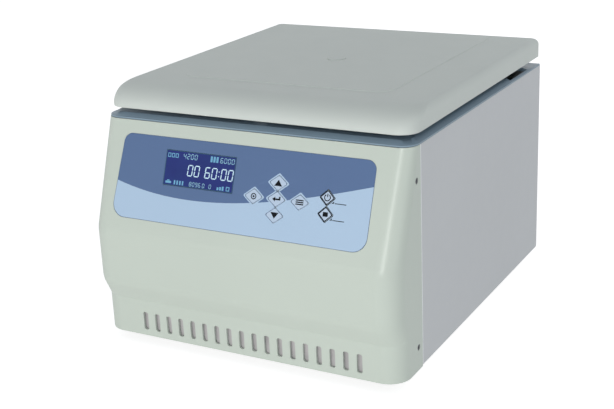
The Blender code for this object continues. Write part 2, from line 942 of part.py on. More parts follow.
def make_lid_hinge(name, side):
    """The moving half: a leaf under the liner and one knuckle between the two fixed ones."""
    middle = side * hinge_place
    wide = hinge_width / 2
    narrow = wide - hinge_knuckle_width - 2 * seat_gap
    high = liner_z - seat_gap
    low = high - hinge_leaf
    step = hinge_knuckle_radius + hinge_leaf
    leaf_front = hinge_y - hinge_leaf_length - step
    leaf = box(name, (middle - wide, leaf_front, low), (middle + wide, hinge_y - step, high))
    neck = (middle - narrow, hinge_y - step - hinge_leaf, low)
    join(leaf, box("neck", neck, (middle + narrow, hinge_y, high)))
    ends = [(middle + end * narrow, hinge_y, hinge_z) for end in (-1, 1)]
    join(leaf, cylinder("knuckle", hinge_knuckle_radius, *ends, 14))
    ends = [(middle + end * (wide + overrun), hinge_y, hinge_z) for end in (-1, 1)]
    cut(leaf, cylinder("knuckle_bore", hinge_rod_radius + seat_gap, *ends, 14))
    return finish(leaf, *steel)


def make_hinge_rod():
    reach = hinge_place + hinge_width / 2 + overrun / 2
    rod = cylinder("hinge_rod", hinge_rod_radius, (-reach, hinge_y, hinge_z), (reach, hinge_y, hinge_z), 16)
    return finish(smooth(rod), *steel)


# The lid's latch
def make_latch_striker():
    """A plate with a window, hung from the liner through the deck's slot."""
    wide = striker_width / 2
    y = striker_y()
    thin = striker_thickness / 2
    high = liner_z - seat_gap
    low = high - striker_drop
    striker = box("latch_striker", (-wide, y - thin, low), (wide, y + thin, high))
    join(striker, box("striker_foot", (-wide, y - thin, high - striker_thickness),
                      (wide, y + striker_width / 2, high)))
    side = striker_window_width / 2
    hole_low = low + striker_foot
    cut(striker, box("striker_window", (-side, y - overrun, hole_low),
                     (side, y + overrun, hole_low + striker_window_height)))
    return finish(striker, *steel)


def hook_pivot():
    window_middle = liner_z - seat_gap - striker_drop + striker_foot + striker_window_height / 2
    y = striker_y() + striker_thickness / 2 + hook_behind_striker
    return Vector((0.0, y, window_middle - hook_height + hook_beak / 2))


def make_latch_hook():
    """A hook that turns into the striker's window; it is shown swung back, with the lid free."""
    beak = hook_height - hook_beak
    arm = hook_arm / 2
    points = [
        (-arm, 0.0), (-arm, beak), (-hook_reach, beak), (-hook_reach, beak + hook_beak / 2),
        (-hook_reach + hook_beak / 2, hook_height), (arm, hook_height), (arm, 0.0),
    ]
    turn = Matrix.Rotation(math.radians(90), 4, "Z") @ Matrix.Rotation(math.radians(90), 4, "X")
    wide = hook_thickness / 2
    hook = prism("latch_hook", [points], -wide, wide, frame=turn)
    turned_boss = cylinder("hook_boss", hook_pin_boss, (-wide, 0, 0), (wide, 0, 0), 20)
    ends = ((-wide - overrun, 0, 0), (wide + overrun, 0, 0))
    bore = cylinder("hook_bore", hook_pin_radius + seat_gap, *ends, 16)
    place = hook_pivot()
    for thing in (hook, turned_boss, bore):
        thing.location = place
        thing.rotation_euler = (-hook_open_angle, 0.0, 0.0)
    cut(join(hook, turned_boss), bore)
    return finish(hook, *steel)


def make_latch_housing():
    """Two cheeks under the deck with a cross plate, flanges and the hook's pin."""
    place = hook_pivot()
    inner = hook_thickness / 2 + 2 * seat_gap
    outer = inner + latch_cheek
    low = place.z - hook_pin_boss - latch_cheek
    high = case_top - deck_edge - seat_gap
    y_low = place.y - hook_pin_boss
    y_high = place.y + hook_height - latch_cheek
    housing = box("latch_housing", (-outer, y_high - latch_cheek, low), (outer, y_high, high))
    for side in (-1, 1):
        xs = sorted((side * inner, side * outer))
        join(housing, box("cheek", (xs[0], y_low, low), (xs[1], y_high, high)))
        xs = sorted((side * (inner + latch_cheek / 2), side * (outer + striker_width / 2)))
        join(housing, box("flange", (xs[0], y_low, high - latch_cheek), (xs[1], y_high, high)))
    pin = [(end * (outer - latch_cheek / 2), place.y, place.z) for end in (-1, 1)]
    join(housing, cylinder("hook_pin", hook_pin_radius, *pin, 16))
    return finish(housing, *zinc)


# The rotor
def baked(thing):
    """The evaluated mesh of an object, whose own cutters are then gone."""
    bpy.context.view_layer.update()
    evaluated = thing.evaluated_get(bpy.context.evaluated_depsgraph_get())
    mesh = bpy.data.meshes.new_from_object(evaluated)
    used = [step.object for step in thing.modifiers if step.type == "BOOLEAN"]
    for other in used + [thing]:
        bpy.data.objects.remove(other, do_unlink=True)
    return mesh


def make_buckets():
    """Four cups, each hung by two ears on the yoke's trunnion pins."""
    inside = bucket_radius - bucket_wall
    low = -bucket_depth
    outline = [
        (0.0, low), (bucket_radius, low), (bucket_radius, bucket_rim - bucket_ledge()),
        (bucket_radius + bucket_lip, bucket_rim - bucket_ledge() + bucket_lip),
        (bucket_radius + bucket_lip, bucket_rim), (inside, bucket_rim), (inside, low + bucket_floor),
        (0.0, low + bucket_floor),
    ]
    radii = [0.0, bucket_round, 0.0, 0.0, 0.0, 0.0, bucket_round / 2, 0.0]
    bucket = turned("bucket", filleted(outline, radii, 2), (0, 0, 0), 20)
    for side in (-1, 1):
        near = side * (bucket_radius - bucket_wall / 2)
        far = side * (yoke_slot_width / 2 - ear_gap)
        ys = sorted((near, far))
        join(bucket, box("ear", (-ear_half_width, ys[0], -ear_below), (ear_half_width, ys[1], ear_above)))
        start = yoke_slot_width / 2 - pin_length - 2 * seat_gap
        reach = sorted((-side * start, -side * yoke_slot_width / 2))
        upright = Matrix.Rotation(math.radians(90), 4, "X")
        cut(bucket, prism("trunnion_slot", [trunnion_arch()], *reach, frame=upright))
    mesh = baked(bucket)
    for i in range(4):
        thing = add_object(f"bucket_{i + 1}", mesh.copy())
        angle = math.pi / 2 * i
        x = pivot_radius * math.cos(angle)
        thing.location = (x, axis_y + pivot_radius * math.sin(angle), pivot_z)
        thing.rotation_euler = (0.0, 0.0, angle)
        finish(smooth(thing), *alloy)


def trunnion_arch():
    """The ear's notch, round over the pin and open below."""
    radius = pin_radius + seat_gap
    steps = 6
    arch = []
    for i in range(steps + 1):
        angle = math.pi * i / steps
        arch.append((radius * math.cos(angle), radius * math.sin(angle)))
    foot = -ear_below - overrun
    return arch + [(-radius, foot), (radius, foot)]


def bucket_ledge():
    return 2 * bucket_lip


def make_rotor_yoke():
    """A hub and disc with four slots, and a trunnion pin on each side of every slot."""
    centre = Vector((0.0, axis_y, 0.0))
    low = pivot_z - yoke_thickness / 2
    high = pivot_z + yoke_thickness / 2
    yoke = cylinder("rotor_yoke", yoke_radius, (0, axis_y, low), (0, axis_y, high), 40)
    wide = yoke_slot_width / 2
    end = yoke_radius + overrun
    for i in range(4):
        turn = Matrix.Translation(centre) @ Matrix.Rotation(math.pi / 2 * i, 4, "Z")
        corners = [(yoke_slot_start, -wide), (end, -wide), (end, wide), (yoke_slot_start, wide)]
        slot = filleted(corners, [bucket_round, 0.0, 0.0, bucket_round], 2, closed=True)
        cut(yoke, prism("yoke_slot", [slot], low - overrun, high + overrun, frame=turn))
    hub_low = (0, axis_y, pivot_z - hub_below)
    join(yoke, cylinder("hub", hub_radius, hub_low, (0, axis_y, pivot_z + hub_above), 24))
    for i in range(4):
        turn = Matrix.Translation(centre) @ Matrix.Rotation(math.pi / 2 * i, 4, "Z")
        for side in (-1, 1):
            root = turn @ Vector((pivot_radius, side * (wide + pin_length / 2), pivot_z))
            tip = turn @ Vector((pivot_radius, side * (wide - pin_length), pivot_z))
            join(yoke, cylinder("trunnion", pin_radius, root, tip, 10))
    bore = shaft_radius + seat_gap
    cut(yoke, cylinder("yoke_bore", bore, (0, axis_y, low - hub_below), (0, axis_y, high + hub_above), 16))
    return finish(smooth(yoke), *alloy)


def make_rotor_nut():
    """A lobed hand nut on the shaft's end."""
    low = pivot_z + hub_above + seat_gap
    outline = []
    steps = 4 * nut_lobes
    for i in range(steps):
        angle = 2 * math.pi * i / steps
        radius = nut_radius * (1 - nut_lobe_share * (1 + math.cos(nut_lobes * angle)) / 2)
        outline.append((radius * math.cos(angle), axis_y + radius * math.sin(angle)))
    nut = prism("rotor_nut", [outline], low, low + nut_height)
    bore = shaft_radius + seat_gap
    blind = low + nut_height * nut_bore_share
    cut(nut, cylinder("nut_bore", bore, (0, axis_y, low - overrun), (0, axis_y, blind), 14))
    return finish(smooth(nut), *black_plastic)


def make_drive_shaft():
    hub_low = pivot_z - hub_below
    collar_top = hub_low - seat_gap
    top = pivot_z + hub_above + nut_height * nut_bore_share - seat_gap
    low = motor_low() - motor_flange
    outline = [
        (0.0, top), (shaft_radius, top), (shaft_radius, collar_top), (collar_radius, collar_top),
        (collar_radius, collar_top - collar_height), (shaft_radius, collar_top - collar_height),
        (shaft_radius, low), (0.0, low),
    ]
    return finish(turned("drive_shaft", outline, (0, axis_y, 0), 16), *steel)


# The motor
def motor_low():
    return pan_top + 2 * seat_gap + mount_height


def motor_top():
    return motor_low() + motor_height


def make_motor_body():
    bore = bearing_radius + seat_gap
    low = motor_low()
    waist = low + motor_flange
    top = motor_top()
    cap = motor_radius - bearing_height / 2
    outline = [
        (bore, top), (cap, top), (motor_radius, top - bearing_height / 2), (motor_radius, waist),
        (motor_flange_radius, waist), (motor_flange_radius, low), (bore, low),
    ]
    return finish(turned("motor_body", outline, (0, axis_y, 0), 28), *alloy)


def make_bearing(name, low):
    inner = shaft_radius + seat_gap
    high = low + bearing_height
    outline = [(inner, high), (bearing_radius, high), (bearing_radius, low), (inner, low)]
    return finish(turned(name, outline, (0, axis_y, 0), 16), *steel)


def make_motor_mounts():
    """Three waisted rubber buffers under the motor's flange."""
    low = pan_top + seat_gap
    high = low + mount_height
    waist = mount_radius * mount_waist_share
    middle = (low + high) / 2
    outline = [
        (0.0, high), (mount_radius, high), (mount_radius, high - motor_flange / 2), (waist, middle),
        (mount_radius, low + motor_flange / 2), (mount_radius, low), (0.0, low),
    ]
    for i in range(3):
        angle = math.radians(90) + 2 * math.pi * i / 3
        place = (mount_circle * math.cos(angle), axis_y + mount_circle * math.sin(angle), 0)
        finish(turned(f"motor_mount_{i + 1}", outline, place, 12), *rubber)


def make_shaft_boot():
    """A pleated rubber sleeve from the motor's top to the bowl's floor."""
    low = motor_top() + seat_gap
    high = bowl_floor - bowl_wall - seat_gap
    rise = (high - low) / 4
    pleat = 2 * boot_wall
    top_radius = chamber_hole + boot_wall
    path = [
        (boot_foot_radius, low), (boot_foot_radius, low + rise / 2), (top_radius, low + rise),
        (top_radius + pleat, low + 2 * rise), (top_radius, low + 3 * rise), (top_radius, high),
    ]
    outline = ribbon(path, boot_wall)
    return finish(turned("shaft_boot", outline, (0, axis_y, 0), 18), *rubber)


# The control face
def make_overlay():
    window = rectangle(-window_left, -window_low, -window_right, -window_top, window_radius, -seat_gap)
    outlines = [overlay_outline(seat_gap), window]
    for place, (wide, high) in key_places().values():
        outlines.append(diamond(wide + 2 * seat_gap, high + 2 * seat_gap, key_radius, place))
    film = prism("control_overlay", outlines, -overlay_thickness, 0.0, frame=face_frame())
    return finish(film, *overlay_blue)


def make_window():
    outline = rectangle(-window_left, -window_low, -window_right, -window_top, window_radius)
    return finish(prism("display_window", [outline], -window_thickness, 0.0, frame=face_frame()),
                  *window_indigo)


def make_display_module():
    left = -window_left - display_margin
    right = -window_right + display_margin
    low = -window_low - display_margin
    high = -window_top + display_margin
    top = -moulded_wall - seat_gap
    outline = [(left, low), (right, low), (right, high), (left, high)]
    module = prism("display_module", [outline], top - display_depth, top, frame=face_frame())
    return finish(bevel(module, soft_edge), *black_plastic)


def key_stem_end():
    return key_proud - key_thickness - key_stem_length


def make_keys():
    for name, (place, (wide, high)) in key_places().items():
        outline = diamond(wide, high, key_radius, place)
        key = prism(name, [outline], key_proud - key_thickness, key_proud, frame=face_frame())
        stem = [face_frame() @ Vector((place[0], place[1], z)) for z in (0.0, key_stem_end())]
        join(key, cylinder("key_stem", key_stem_radius, *stem, 12))
        finish(move_origin(key, face_frame() @ Vector((place[0], place[1], 0.0))), *key_pale)


def make_control_board():
    """The keys' board on four posts, with a small switch under each key."""
    top = -board_depth
    outline = [(board_left, -board_low), (board_right, -board_low), (board_right, -board_top),
               (board_left, -board_top)]
    board = prism("control_board", [outline], top - board_thickness, top, frame=face_frame())
    post_ends = (top - board_thickness / 2, -moulded_wall - seat_gap)
    for x in (board_left + board_post_inset, board_right - board_post_inset):
        for y in (-board_low + board_post_inset, -board_top - board_post_inset):
            ends = [face_frame() @ Vector((x, y, z)) for z in post_ends]
            join(board, cylinder("board_post", board_post_radius, *ends, 12))
    switch_low = top - board_thickness / 2
    switch_top = key_stem_end() - key_travel - seat_gap
    for place, _ in key_places().values():
        reach = tact_width / 2
        outline = [(place[0] + x, place[1] + y) for x, y in
                   ((-reach, -reach), (reach, -reach), (reach, reach), (-reach, reach))]
        join(board, prism("tact_switch", [outline], switch_low, switch_top, frame=face_frame()))
    return finish(board, *board_green)


# What the rear panel holds
def fan_back():
    return rear_face - sheet_wall - seat_gap


def make_fan_frame():
    """A square frame with a round throat, and a motor seat held by four struts."""
    reach = fan_size / 2
    z = fan_height()
    rear = fan_back()
    fan_front = rear - fan_depth
    frame = box("fan_frame", (fan_x - reach, fan_front, z - reach), (fan_x + reach, rear, z + reach))
    bevel(frame, fan_post_radius, 2)
    throat = [(fan_x, y, z) for y in (fan_front - overrun, rear + overrun)]
    cut(frame, cylinder("fan_throat", fan_bore, *throat, 28))
    strut = fan_strut_width / 2
    strut_y = fan_front + fan_strut_depth
    span = fan_bore + strut
    for wide, tall in ((span, strut), (strut, span)):
        low = (fan_x - wide, fan_front, z - tall)
        join(frame, box("strut", low, (fan_x + wide, strut_y, z + tall)))
    seat = [(fan_x, y, z) for y in (fan_front, strut_y)]
    join(frame, cylinder("fan_seat", fan_hub_radius, *seat, 16))
    pin = [(fan_x, y, z) for y in (strut_y - overrun / 4, rear - fan_strut_depth)]
    join(frame, cylinder("fan_pin", rocker_pin_radius, *pin, 12))
    return finish(frame, *black_plastic)


def make_cooling_fan():
    """A hub cap with pitched blades, on the frame's pin."""
    z = fan_height()
    low = fan_back() - fan_depth + fan_strut_depth + 2 * seat_gap
    high = fan_back() - 2 * seat_gap
    hub = [(fan_x, y, z) for y in (low, high)]
    wheel = cylinder("cooling_fan", fan_hub_radius, *hub, 24)
    middle = Vector((fan_x, (low + high) / 2, z))
    for i in range(fan_blades):
        reach = fan_bore - fan_blade_gap
        start = fan_hub_radius - fan_blade_gap
        thin = fan_blade_thickness / 2
        wide = fan_blade_width / 2
        blade = box("blade", (start, -wide, -thin), (reach, wide, thin))
        pitch = Matrix.Rotation(fan_blade_pitch, 4, "X")
        turn = Matrix.Rotation(2 * math.pi * i / fan_blades, 4, "Y")
        blade.data.transform(Matrix.Translation(middle) @ turn @ pitch)
        join(wheel, blade)
    bore = rocker_pin_radius + seat_gap
    ends = [(fan_x, y, z) for y in (low - overrun, fan_back() - fan_strut_depth + 2 * seat_gap)]
    cut(wheel, cylinder("fan_bore", bore, *ends, 12))
    return finish(wheel, *black_plastic)


def make_fan_guard():
    """Wire rings on crossed spokes, outside the rear panel."""
    z = fan_height()
    y = rear_face + seat_gap + guard_wire
    guard = None
    for share in guard_ring_share:
        bpy.ops.mesh.primitive_torus_add(major_radius=fan_bore * share, minor_radius=guard_wire,
                                         major_segments=16, minor_segments=4)
        ring = bpy.context.object
        ring.data.transform(Matrix.Translation((fan_x, y, z)) @ Matrix.Rotation(math.radians(90), 4, "X"))
        for group in list(ring.users_collection):
            group.objects.unlink(ring)
        parts.objects.link(ring)
        if guard is None:
            guard = ring
            guard.name = "fan_guard"
        else:
            join(guard, ring)
    reach = fan_bore + 2 * guard_tab_radius
    for i in range(guard_spokes):
        angle = math.radians(45) + math.pi * i / guard_spokes
        arm = Vector((math.cos(angle), 0.0, math.sin(angle))) * reach
        middle = Vector((fan_x, y, z))
        join(guard, cylinder("spoke", guard_wire * guard_spoke_share, middle - arm, middle + arm, 6))
    return finish(guard, *steel)


def make_power_inlet():
    """One module with the mains socket, a fuse drawer's front and the rocker's seat."""
    z = inlet_height_place()
    x = -inlet_x
    wide = inlet_width / 2
    high = inlet_height / 2
    out = rear_face + seat_gap
    inlet = box("power_inlet", (x - wide, out, z - high), (x + wide, out + inlet_flange, z + high))
    edge = inlet_lip + 2 * seat_gap
    inner_low = (x - wide + edge, rear_face - inlet_depth, z - high + edge)
    join(inlet, box("inlet_body", inner_low, (x + wide - edge, out + inlet_flange / 2, z + high - edge)))
    face = out + inlet_flange
    socket_z = z - socket_drop
    rocker_z = z + rocker_rise
    seats = (
        ("socket", socket_z, socket_width / 2, socket_height / 2, socket_depth),
        ("rocker_seat", rocker_z, rocker_width / 2, rocker_height / 2, rocker_depth),
    )
    for name, middle, reach, rise, depth in seats:
        low = (x - reach, face - depth, middle - rise)
        cut(inlet, box(name, low, (x + reach, face + overrun, middle + rise)))
    thin = blade_thickness / 2
    blade_back = face - socket_depth
    for i in (-1, 0, 1):
        blade_x = x + i * blade_step
        blade_z = socket_z + (0.0 if i else -blade_width / 2)
        low = (blade_x - thin, blade_back - overrun / 2, blade_z - blade_width / 2)
        tip = (blade_x + thin, blade_back + blade_length, blade_z + blade_width / 2)
        join(inlet, box("contact", low, tip))
    pivot = rocker_pivot()
    ends = [(x + side * (rocker_width / 2 + blade_thickness / 2), pivot.y, pivot.z) for side in (-1, 1)]
    join(inlet, cylinder("rocker_pin", rocker_pin_radius, *ends, 12))
    drawer = rocker_z - rocker_height / 2 - inlet_lip - fuse_height / 2
    low = (x - socket_width / 2, face - inlet_lip / 4, drawer - fuse_height / 2)
    tip = (x + socket_width / 2, face + inlet_lip / 4, drawer + fuse_height / 2)
    join(inlet, box("fuse_front", low, tip))
    return finish(inlet, *black_plastic)


def rocker_pivot():
    face = rear_face + seat_gap + inlet_flange
    return Vector((-inlet_x, face - rocker_depth / 2, inlet_height_place() + rocker_rise))


def make_power_rocker():
    """A rocker with a hollowed front, shown pressed to one side."""
    tall = rocker_height / 2 - rocker_height * rocker_clear_share
    out = rocker_depth / 2
    rear = -out * rocker_back_share
    points = [
        (-tall, out - rocker_proud), (-tall, out + rocker_proud), (0.0, out), (tall, out + rocker_proud),
        (tall, out - rocker_proud), (tall / 3, rear), (-tall / 3, rear),
    ]
    wide = rocker_width / 2 - seat_gap
    turn = Matrix.Rotation(math.radians(-90), 4, "Y")
    rocker = prism("power_rocker", [points], -wide, wide, frame=turn)
    ends = ((-rocker_width, 0, 0), (rocker_width, 0, 0))
    bore = cylinder("rocker_bore", rocker_pin_radius + seat_gap, *ends, 12)
    for thing in (rocker, bore):
        thing.location = rocker_pivot()
        thing.rotation_euler = (rocker_tilt, 0.0, 0.0)
    return finish(cut(rocker, bore), *black_plastic)


# What stands on the base pan, and what the case stands on
def make_transformer():
    wide, long, tall = transformer_size
    x = -box_side
    y = front + box_from_front
    z = pan_top + seat_gap
    core = transformer_core / 2
    unit = box("transformer", (x - wide / 2, y - core, z), (x + wide / 2, y + core, z + tall))
    low = z + tall * coil_lift_share
    coil = (wide / 2) * coil_width_share
    join(unit, box("coil", (x - coil, y - long / 2, low), (x + coil, y + long / 2, z + tall - (low - z))))
    return finish(bevel(unit, soft_edge), *copper_brown)


def make_motor_drive():
    """The motor's drive: a case with a finned top."""
    wide, long, tall = drive_size
    x = box_side
    y = front + box_from_front
    z = pan_top + seat_gap
    unit = box("motor_drive", (x - wide / 2, y - long / 2, z), (x + wide / 2, y + long / 2, z + tall))
    pitch = wide / drive_fins
    for i in range(drive_fins - 1):
        middle = x - wide / 2 + pitch * (i + 1)
        groove = pitch / 4
        low = (middle - groove, y - long / 2 - overrun, z + tall - drive_fin_height)
        cut(unit, box("fin_gap", low, (middle + groove, y + long / 2 + overrun, z + tall + overrun)))
    return finish(unit, *alloy)


def make_feet():
    top = pan_z - seat_gap
    outline = filleted([(0.0, top), (foot_radius, top), (foot_toe_radius, 0.0), (0.0, 0.0)],
                       [0.0, 0.0, 2 * soft_edge, 0.0], 2)
    for row, y in (("front", front + foot_in_y), ("rear", back - foot_in_y)):
        for hand, side in (("left", -1), ("right", 1)):
            place = (side * (half - foot_in_x), y, 0.0)
            finish(turned(f"foot_{row}_{hand}", outline, place, 16), *rubber)


def screw_places():
    y = seam - screw_before_seam
    for hand, side in (("left", -1), ("right", 1)):
        for level, height in (("low", screw_low), ("high", screw_high)):
            yield f"cover_screw_{hand}_{level}", side, y, floor_z + height


def make_cover_screws(cover):
    """Pan-head screws sunk in the cover's sides."""
    for name, side, y, z in screw_places():
        out = half - screw_sink
        head = [(side * x, y, z) for x in (out - screw_head_height, out)]
        shank = [(side * x, y, z) for x in (out - screw_length, out - screw_head_height / 2)]
        screw = cylinder(name, screw_head_radius, *head, 12)
        join(screw, cylinder("shank", screw_shank_radius, *shank, 8))
        slot = screw_head_radius * screw_slot_share
        for wide, tall in ((slot, slot / 4), (slot / 4, slot)):
            low = (min(side * (out - screw_head_height / 2), side * (out + overrun)), y - wide, z - tall)
            high = (max(side * (out - screw_head_height / 2), side * (out + overrun)), y + wide, z + tall)
            cut(screw, box("recess", low, high))
        finish(screw, *steel)
        seat = [(side * x, y, z) for x in (out - screw_head_height - seat_gap, out + overrun)]
        cut(cover, cylinder("screw_seat", screw_head_radius + seat_gap, *seat, 12))
        hole = [(side * x, y, z) for x in (out - screw_length, out)]
        cut(cover, cylinder("screw_hole", screw_shank_radius + seat_gap, *hole, 8))


make_cover_screws(make_front_cover())
make_side_panel("left_side_panel", -1)
make_side_panel("right_side_panel", 1)
make_base_pan()
make_rear_panel()
make_top_deck()
make_chamber_bowl()
make_chamber_gasket()
make_lid_shell()
make_lid_liner()
make_port_window()
for hand_name, hand_side in (("left", -1), ("right", 1)):
    make_hinge_bracket(f"hinge_bracket_{hand_name}", hand_side)
    make_lid_hinge(f"lid_hinge_{hand_name}", hand_side)
make_hinge_rod()
make_latch_striker()
make_latch_hook()
make_latch_housing()
make_buckets()
make_rotor_yoke()
make_rotor_nut()
make_drive_shaft()
make_motor_body()
make_bearing("bearing_lower", motor_low() + seat_gap)
make_bearing("bearing_upper", motor_top() - bearing_height - seat_gap)
make_motor_mounts()
make_shaft_boot()
make_overlay()
make_window()
make_display_module()
make_keys()
make_control_board()
make_fan_frame()
make_cooling_fan()
make_fan_guard()
make_power_inlet()
make_power_rocker()
make_transformer()
make_motor_drive()
make_feet()
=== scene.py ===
# Looks of the benchtop centrifuge: its surfaces, prints, fine edges, studio and camera. Metres.
import math

import bmesh
import bpy
from mathutils import Matrix, Vector


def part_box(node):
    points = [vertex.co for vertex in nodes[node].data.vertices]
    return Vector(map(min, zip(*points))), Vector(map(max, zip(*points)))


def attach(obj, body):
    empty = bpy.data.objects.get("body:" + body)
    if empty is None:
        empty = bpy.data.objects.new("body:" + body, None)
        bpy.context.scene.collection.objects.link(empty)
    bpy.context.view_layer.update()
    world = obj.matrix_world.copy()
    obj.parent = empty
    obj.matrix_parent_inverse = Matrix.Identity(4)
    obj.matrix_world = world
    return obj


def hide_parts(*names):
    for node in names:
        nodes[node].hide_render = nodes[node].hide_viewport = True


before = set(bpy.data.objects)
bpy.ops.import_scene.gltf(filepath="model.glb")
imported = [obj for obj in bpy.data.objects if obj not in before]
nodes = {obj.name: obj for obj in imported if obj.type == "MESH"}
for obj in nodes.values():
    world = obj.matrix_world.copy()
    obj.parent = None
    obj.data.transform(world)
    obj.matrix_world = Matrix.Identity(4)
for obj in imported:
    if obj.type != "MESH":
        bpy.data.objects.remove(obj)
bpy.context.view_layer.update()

# Sizes taken from the frame
cover_low, cover_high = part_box("front_cover")
panel_low, panel_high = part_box("right_side_panel")
lid_box_low, lid_box_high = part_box("lid_shell")
bowl_low, bowl_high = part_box("chamber_bowl")
half = panel_high.x
front = cover_low.y
back = panel_high.y
floor_z = cover_low.z
wall_top = cover_high.z
seam = panel_low.y
lid_low = lid_box_low.z
axis_y = (bowl_low.y + bowl_high.y) / 2

# What all the pieces share: play between two pieces, and how far a cutting shape goes past the piece
seat_gap = 0.0003
overrun = 0.004
weld_gap = seat_gap / 60

# The side panels: the outer front edge is rounder than the others
panel_edge = 0.0014
panel_soft_edge = 0.0003

# The front cover
moulded_wall = 0.003
case_height = 0.281
skirt_set_back = 0.0127
skirt_height = 0.049
belly_low = 0.074
belly_high = 0.144
top_set_back = 0.0535
skirt_bend = 0.005
belly_bend = 0.030
bend_steps = 9
corner_radius_low = 0.028
corner_radius_top = 0.020
corner_steps = 14
vent_count = 18
vent_pitch = 0.01815
vent_width = 0.0074
vent_height = 0.0245
vent_foot = 0.0083
vent_corner = 0.0026
vent_corner_steps = 5
vent_row_shift = 0.0065
# The pale sheet behind the vent slots, which paints light inside them
slot_light_gap = 0.0012
slot_light_wall = 0.0012
screw_radius = 0.0036
screw_length = 0.009
screw_head_height = 0.002
screw_sink = 0.0004
screw_shank_radius = 0.0015
screw_places = ("left_low", "left_high", "right_low", "right_high")

# The lid
lid_height = 0.0276
lid_wall = 0.003
lid_front_round_depth = 0.046
lid_front_round_height = 0.0245
lid_side_round = 0.009
lid_back_round = 0.007
lid_corner_radius = 0.024
lid_back_corner_radius = 0.004
lid_round_steps = 22
lid_field_rise = 0.001
lid_field_half_width = 0.148
lid_field_front = 0.082
lid_field_radius = 0.018
lid_field_slope = 0.0004
lid_field_steps = 12
port_radius = 0.0125
port_lip = 0.0015

# The control face, from the cover's top edge down its slope
face_top_y = front + top_set_back
case_top = floor_z + case_height
slope_angle = math.atan2(top_set_back, case_height - belly_high)
overlay_left_top = 0.178
overlay_left_low = 0.184
overlay_right = 0.175
overlay_top = 0.019
overlay_low = 0.1265
overlay_radius = 0.012
overlay_radius_low = 0.018
overlay_steps = 10
overlay_thickness = 0.0009
overlay_recess = 0.0012
window_left = 0.112
window_right = 0.0105
window_top = 0.0345
window_low = 0.0785
window_radius = 0.001
key_cross_x = 0.0513
key_cross_down = 0.078
key_step_across = 0.0313
key_step_down = 0.0194
key_half_width = 0.0125
key_half_height = 0.0092
key_radius = 0.0018
key_play = 2 * seat_gap
run_key_x = 0.118
run_key_step = 0.0196
run_key_half_width = 0.0098
run_key_half_height = 0.0092
key_stem_radius = 0.003
key_proud = 0.0004


# Points
def filleted(points, radii, steps, closed=False):
    """The polyline with each corner of a radius over zero turned into an arc."""
    rounded = []
    count = len(points)
    for i, point in enumerate(points):
        here = Vector(point)
        if radii[i] <= 0 or (not closed and i in (0, count - 1)):
            rounded.append(here)
            continue
        before = (Vector(points[i - 1]) - here).normalized()
        after = (Vector(points[(i + 1) % count]) - here).normalized()
        half_angle = before.angle(after) / 2
        reach = radii[i] / math.tan(half_angle)
        middle = here + (before + after).normalized() * radii[i] / math.sin(half_angle)
        start = here + before * reach - middle
        end = here + after * reach - middle
        turn = math.pi - 2 * half_angle
        for k in range(steps + 1):
            share = k / steps
            arm = start * math.sin((1 - share) * turn) + end * math.sin(share * turn)
            rounded.append(middle + arm / math.sin(turn))
    return rounded


def circle(radius, count, centre=(0.0, 0.0)):
    ring = []
    for i in range(count):
        angle = 2 * math.pi * i / count
        ring.append((centre[0] + radius * math.cos(angle), centre[1] + radius * math.sin(angle)))
    return ring


def moved(points, place):
    return [(p[0] + place[0], p[1] + place[1]) for p in points]


# Meshes
def add_object(name, mesh):
    thing = bpy.data.objects.new(name, mesh)
    bpy.context.scene.collection.objects.link(thing)
    return thing


def from_bmesh(name, shape):
    bmesh.ops.recalc_face_normals(shape, faces=shape.faces)
    mesh = bpy.data.meshes.new(name)
    shape.to_mesh(mesh)
    shape.free()
    return add_object(name, mesh)


def box(name, low, high):
    shape = bmesh.new()
    bmesh.ops.create_cube(shape, size=1.0)
    for vert in shape.verts:
        for i in range(3):
            vert.co[i] = high[i] if vert.co[i] > 0 else low[i]
    return from_bmesh(name, shape)


def cylinder(name, radius, start, end, segments=48):
    start = Vector(start)
    end = Vector(end)
    shape = bmesh.new()
    bmesh.ops.create_cone(shape, cap_ends=True, segments=segments, radius1=radius, radius2=radius,
                          depth=(end - start).length)
    turn = (end - start).to_track_quat("Z", "Y").to_matrix().to_4x4()
    bmesh.ops.transform(shape, matrix=Matrix.Translation((start + end) / 2) @ turn, verts=shape.verts)
    return from_bmesh(name, shape)


def prism(name, outlines, low, high, place=None):
    """Flat outlines, with any holes, given a thickness from low to high along their own Z."""
    curve = bpy.data.curves.new(name, "CURVE")
    curve.dimensions = "2D"
    curve.fill_mode = "BOTH"
    curve.extrude = (high - low) / 2
    for outline in outlines:
        spline = curve.splines.new("POLY")
        spline.points.add(len(outline) - 1)
        spline.use_cyclic_u = True
        for point, spot in zip(spline.points, outline):
            point.co = (spot[0], spot[1], 0.0, 1.0)
    guide = bpy.data.objects.new(name + "_outline", curve)
    bpy.context.scene.collection.objects.link(guide)
    bpy.context.view_layer.update()
    evaluated = guide.evaluated_get(bpy.context.evaluated_depsgraph_get())
    mesh = bpy.data.meshes.new_from_object(evaluated)
    bpy.data.objects.remove(guide, do_unlink=True)
    shape = bmesh.new()
    shape.from_mesh(mesh)
    bpy.data.meshes.remove(mesh)
    bmesh.ops.remove_doubles(shape, verts=shape.verts, dist=seat_gap / 100)
    spot = (place or Matrix()) @ Matrix.Translation((0, 0, (low + high) / 2))
    bmesh.ops.transform(shape, matrix=spot, verts=shape.verts)
    return from_bmesh(name, shape)


def loft(name, rings, cap_first=False, cap_last=False, closed=True):
    shape = bmesh.new()
    rows = [[shape.verts.new(p) for p in ring] for ring in rings]
    count = len(rows[0])
    for low, high in zip(rows, rows[1:]):
        for i in range(count if closed else count - 1):
            j = (i + 1) % count
            shape.faces.new((low[i], low[j], high[j], high[i]))
    if cap_first:
        shape.faces.new(rows[0][::-1])
    if cap_last:
        shape.faces.new(rows[-1])
    return from_bmesh(name, shape)


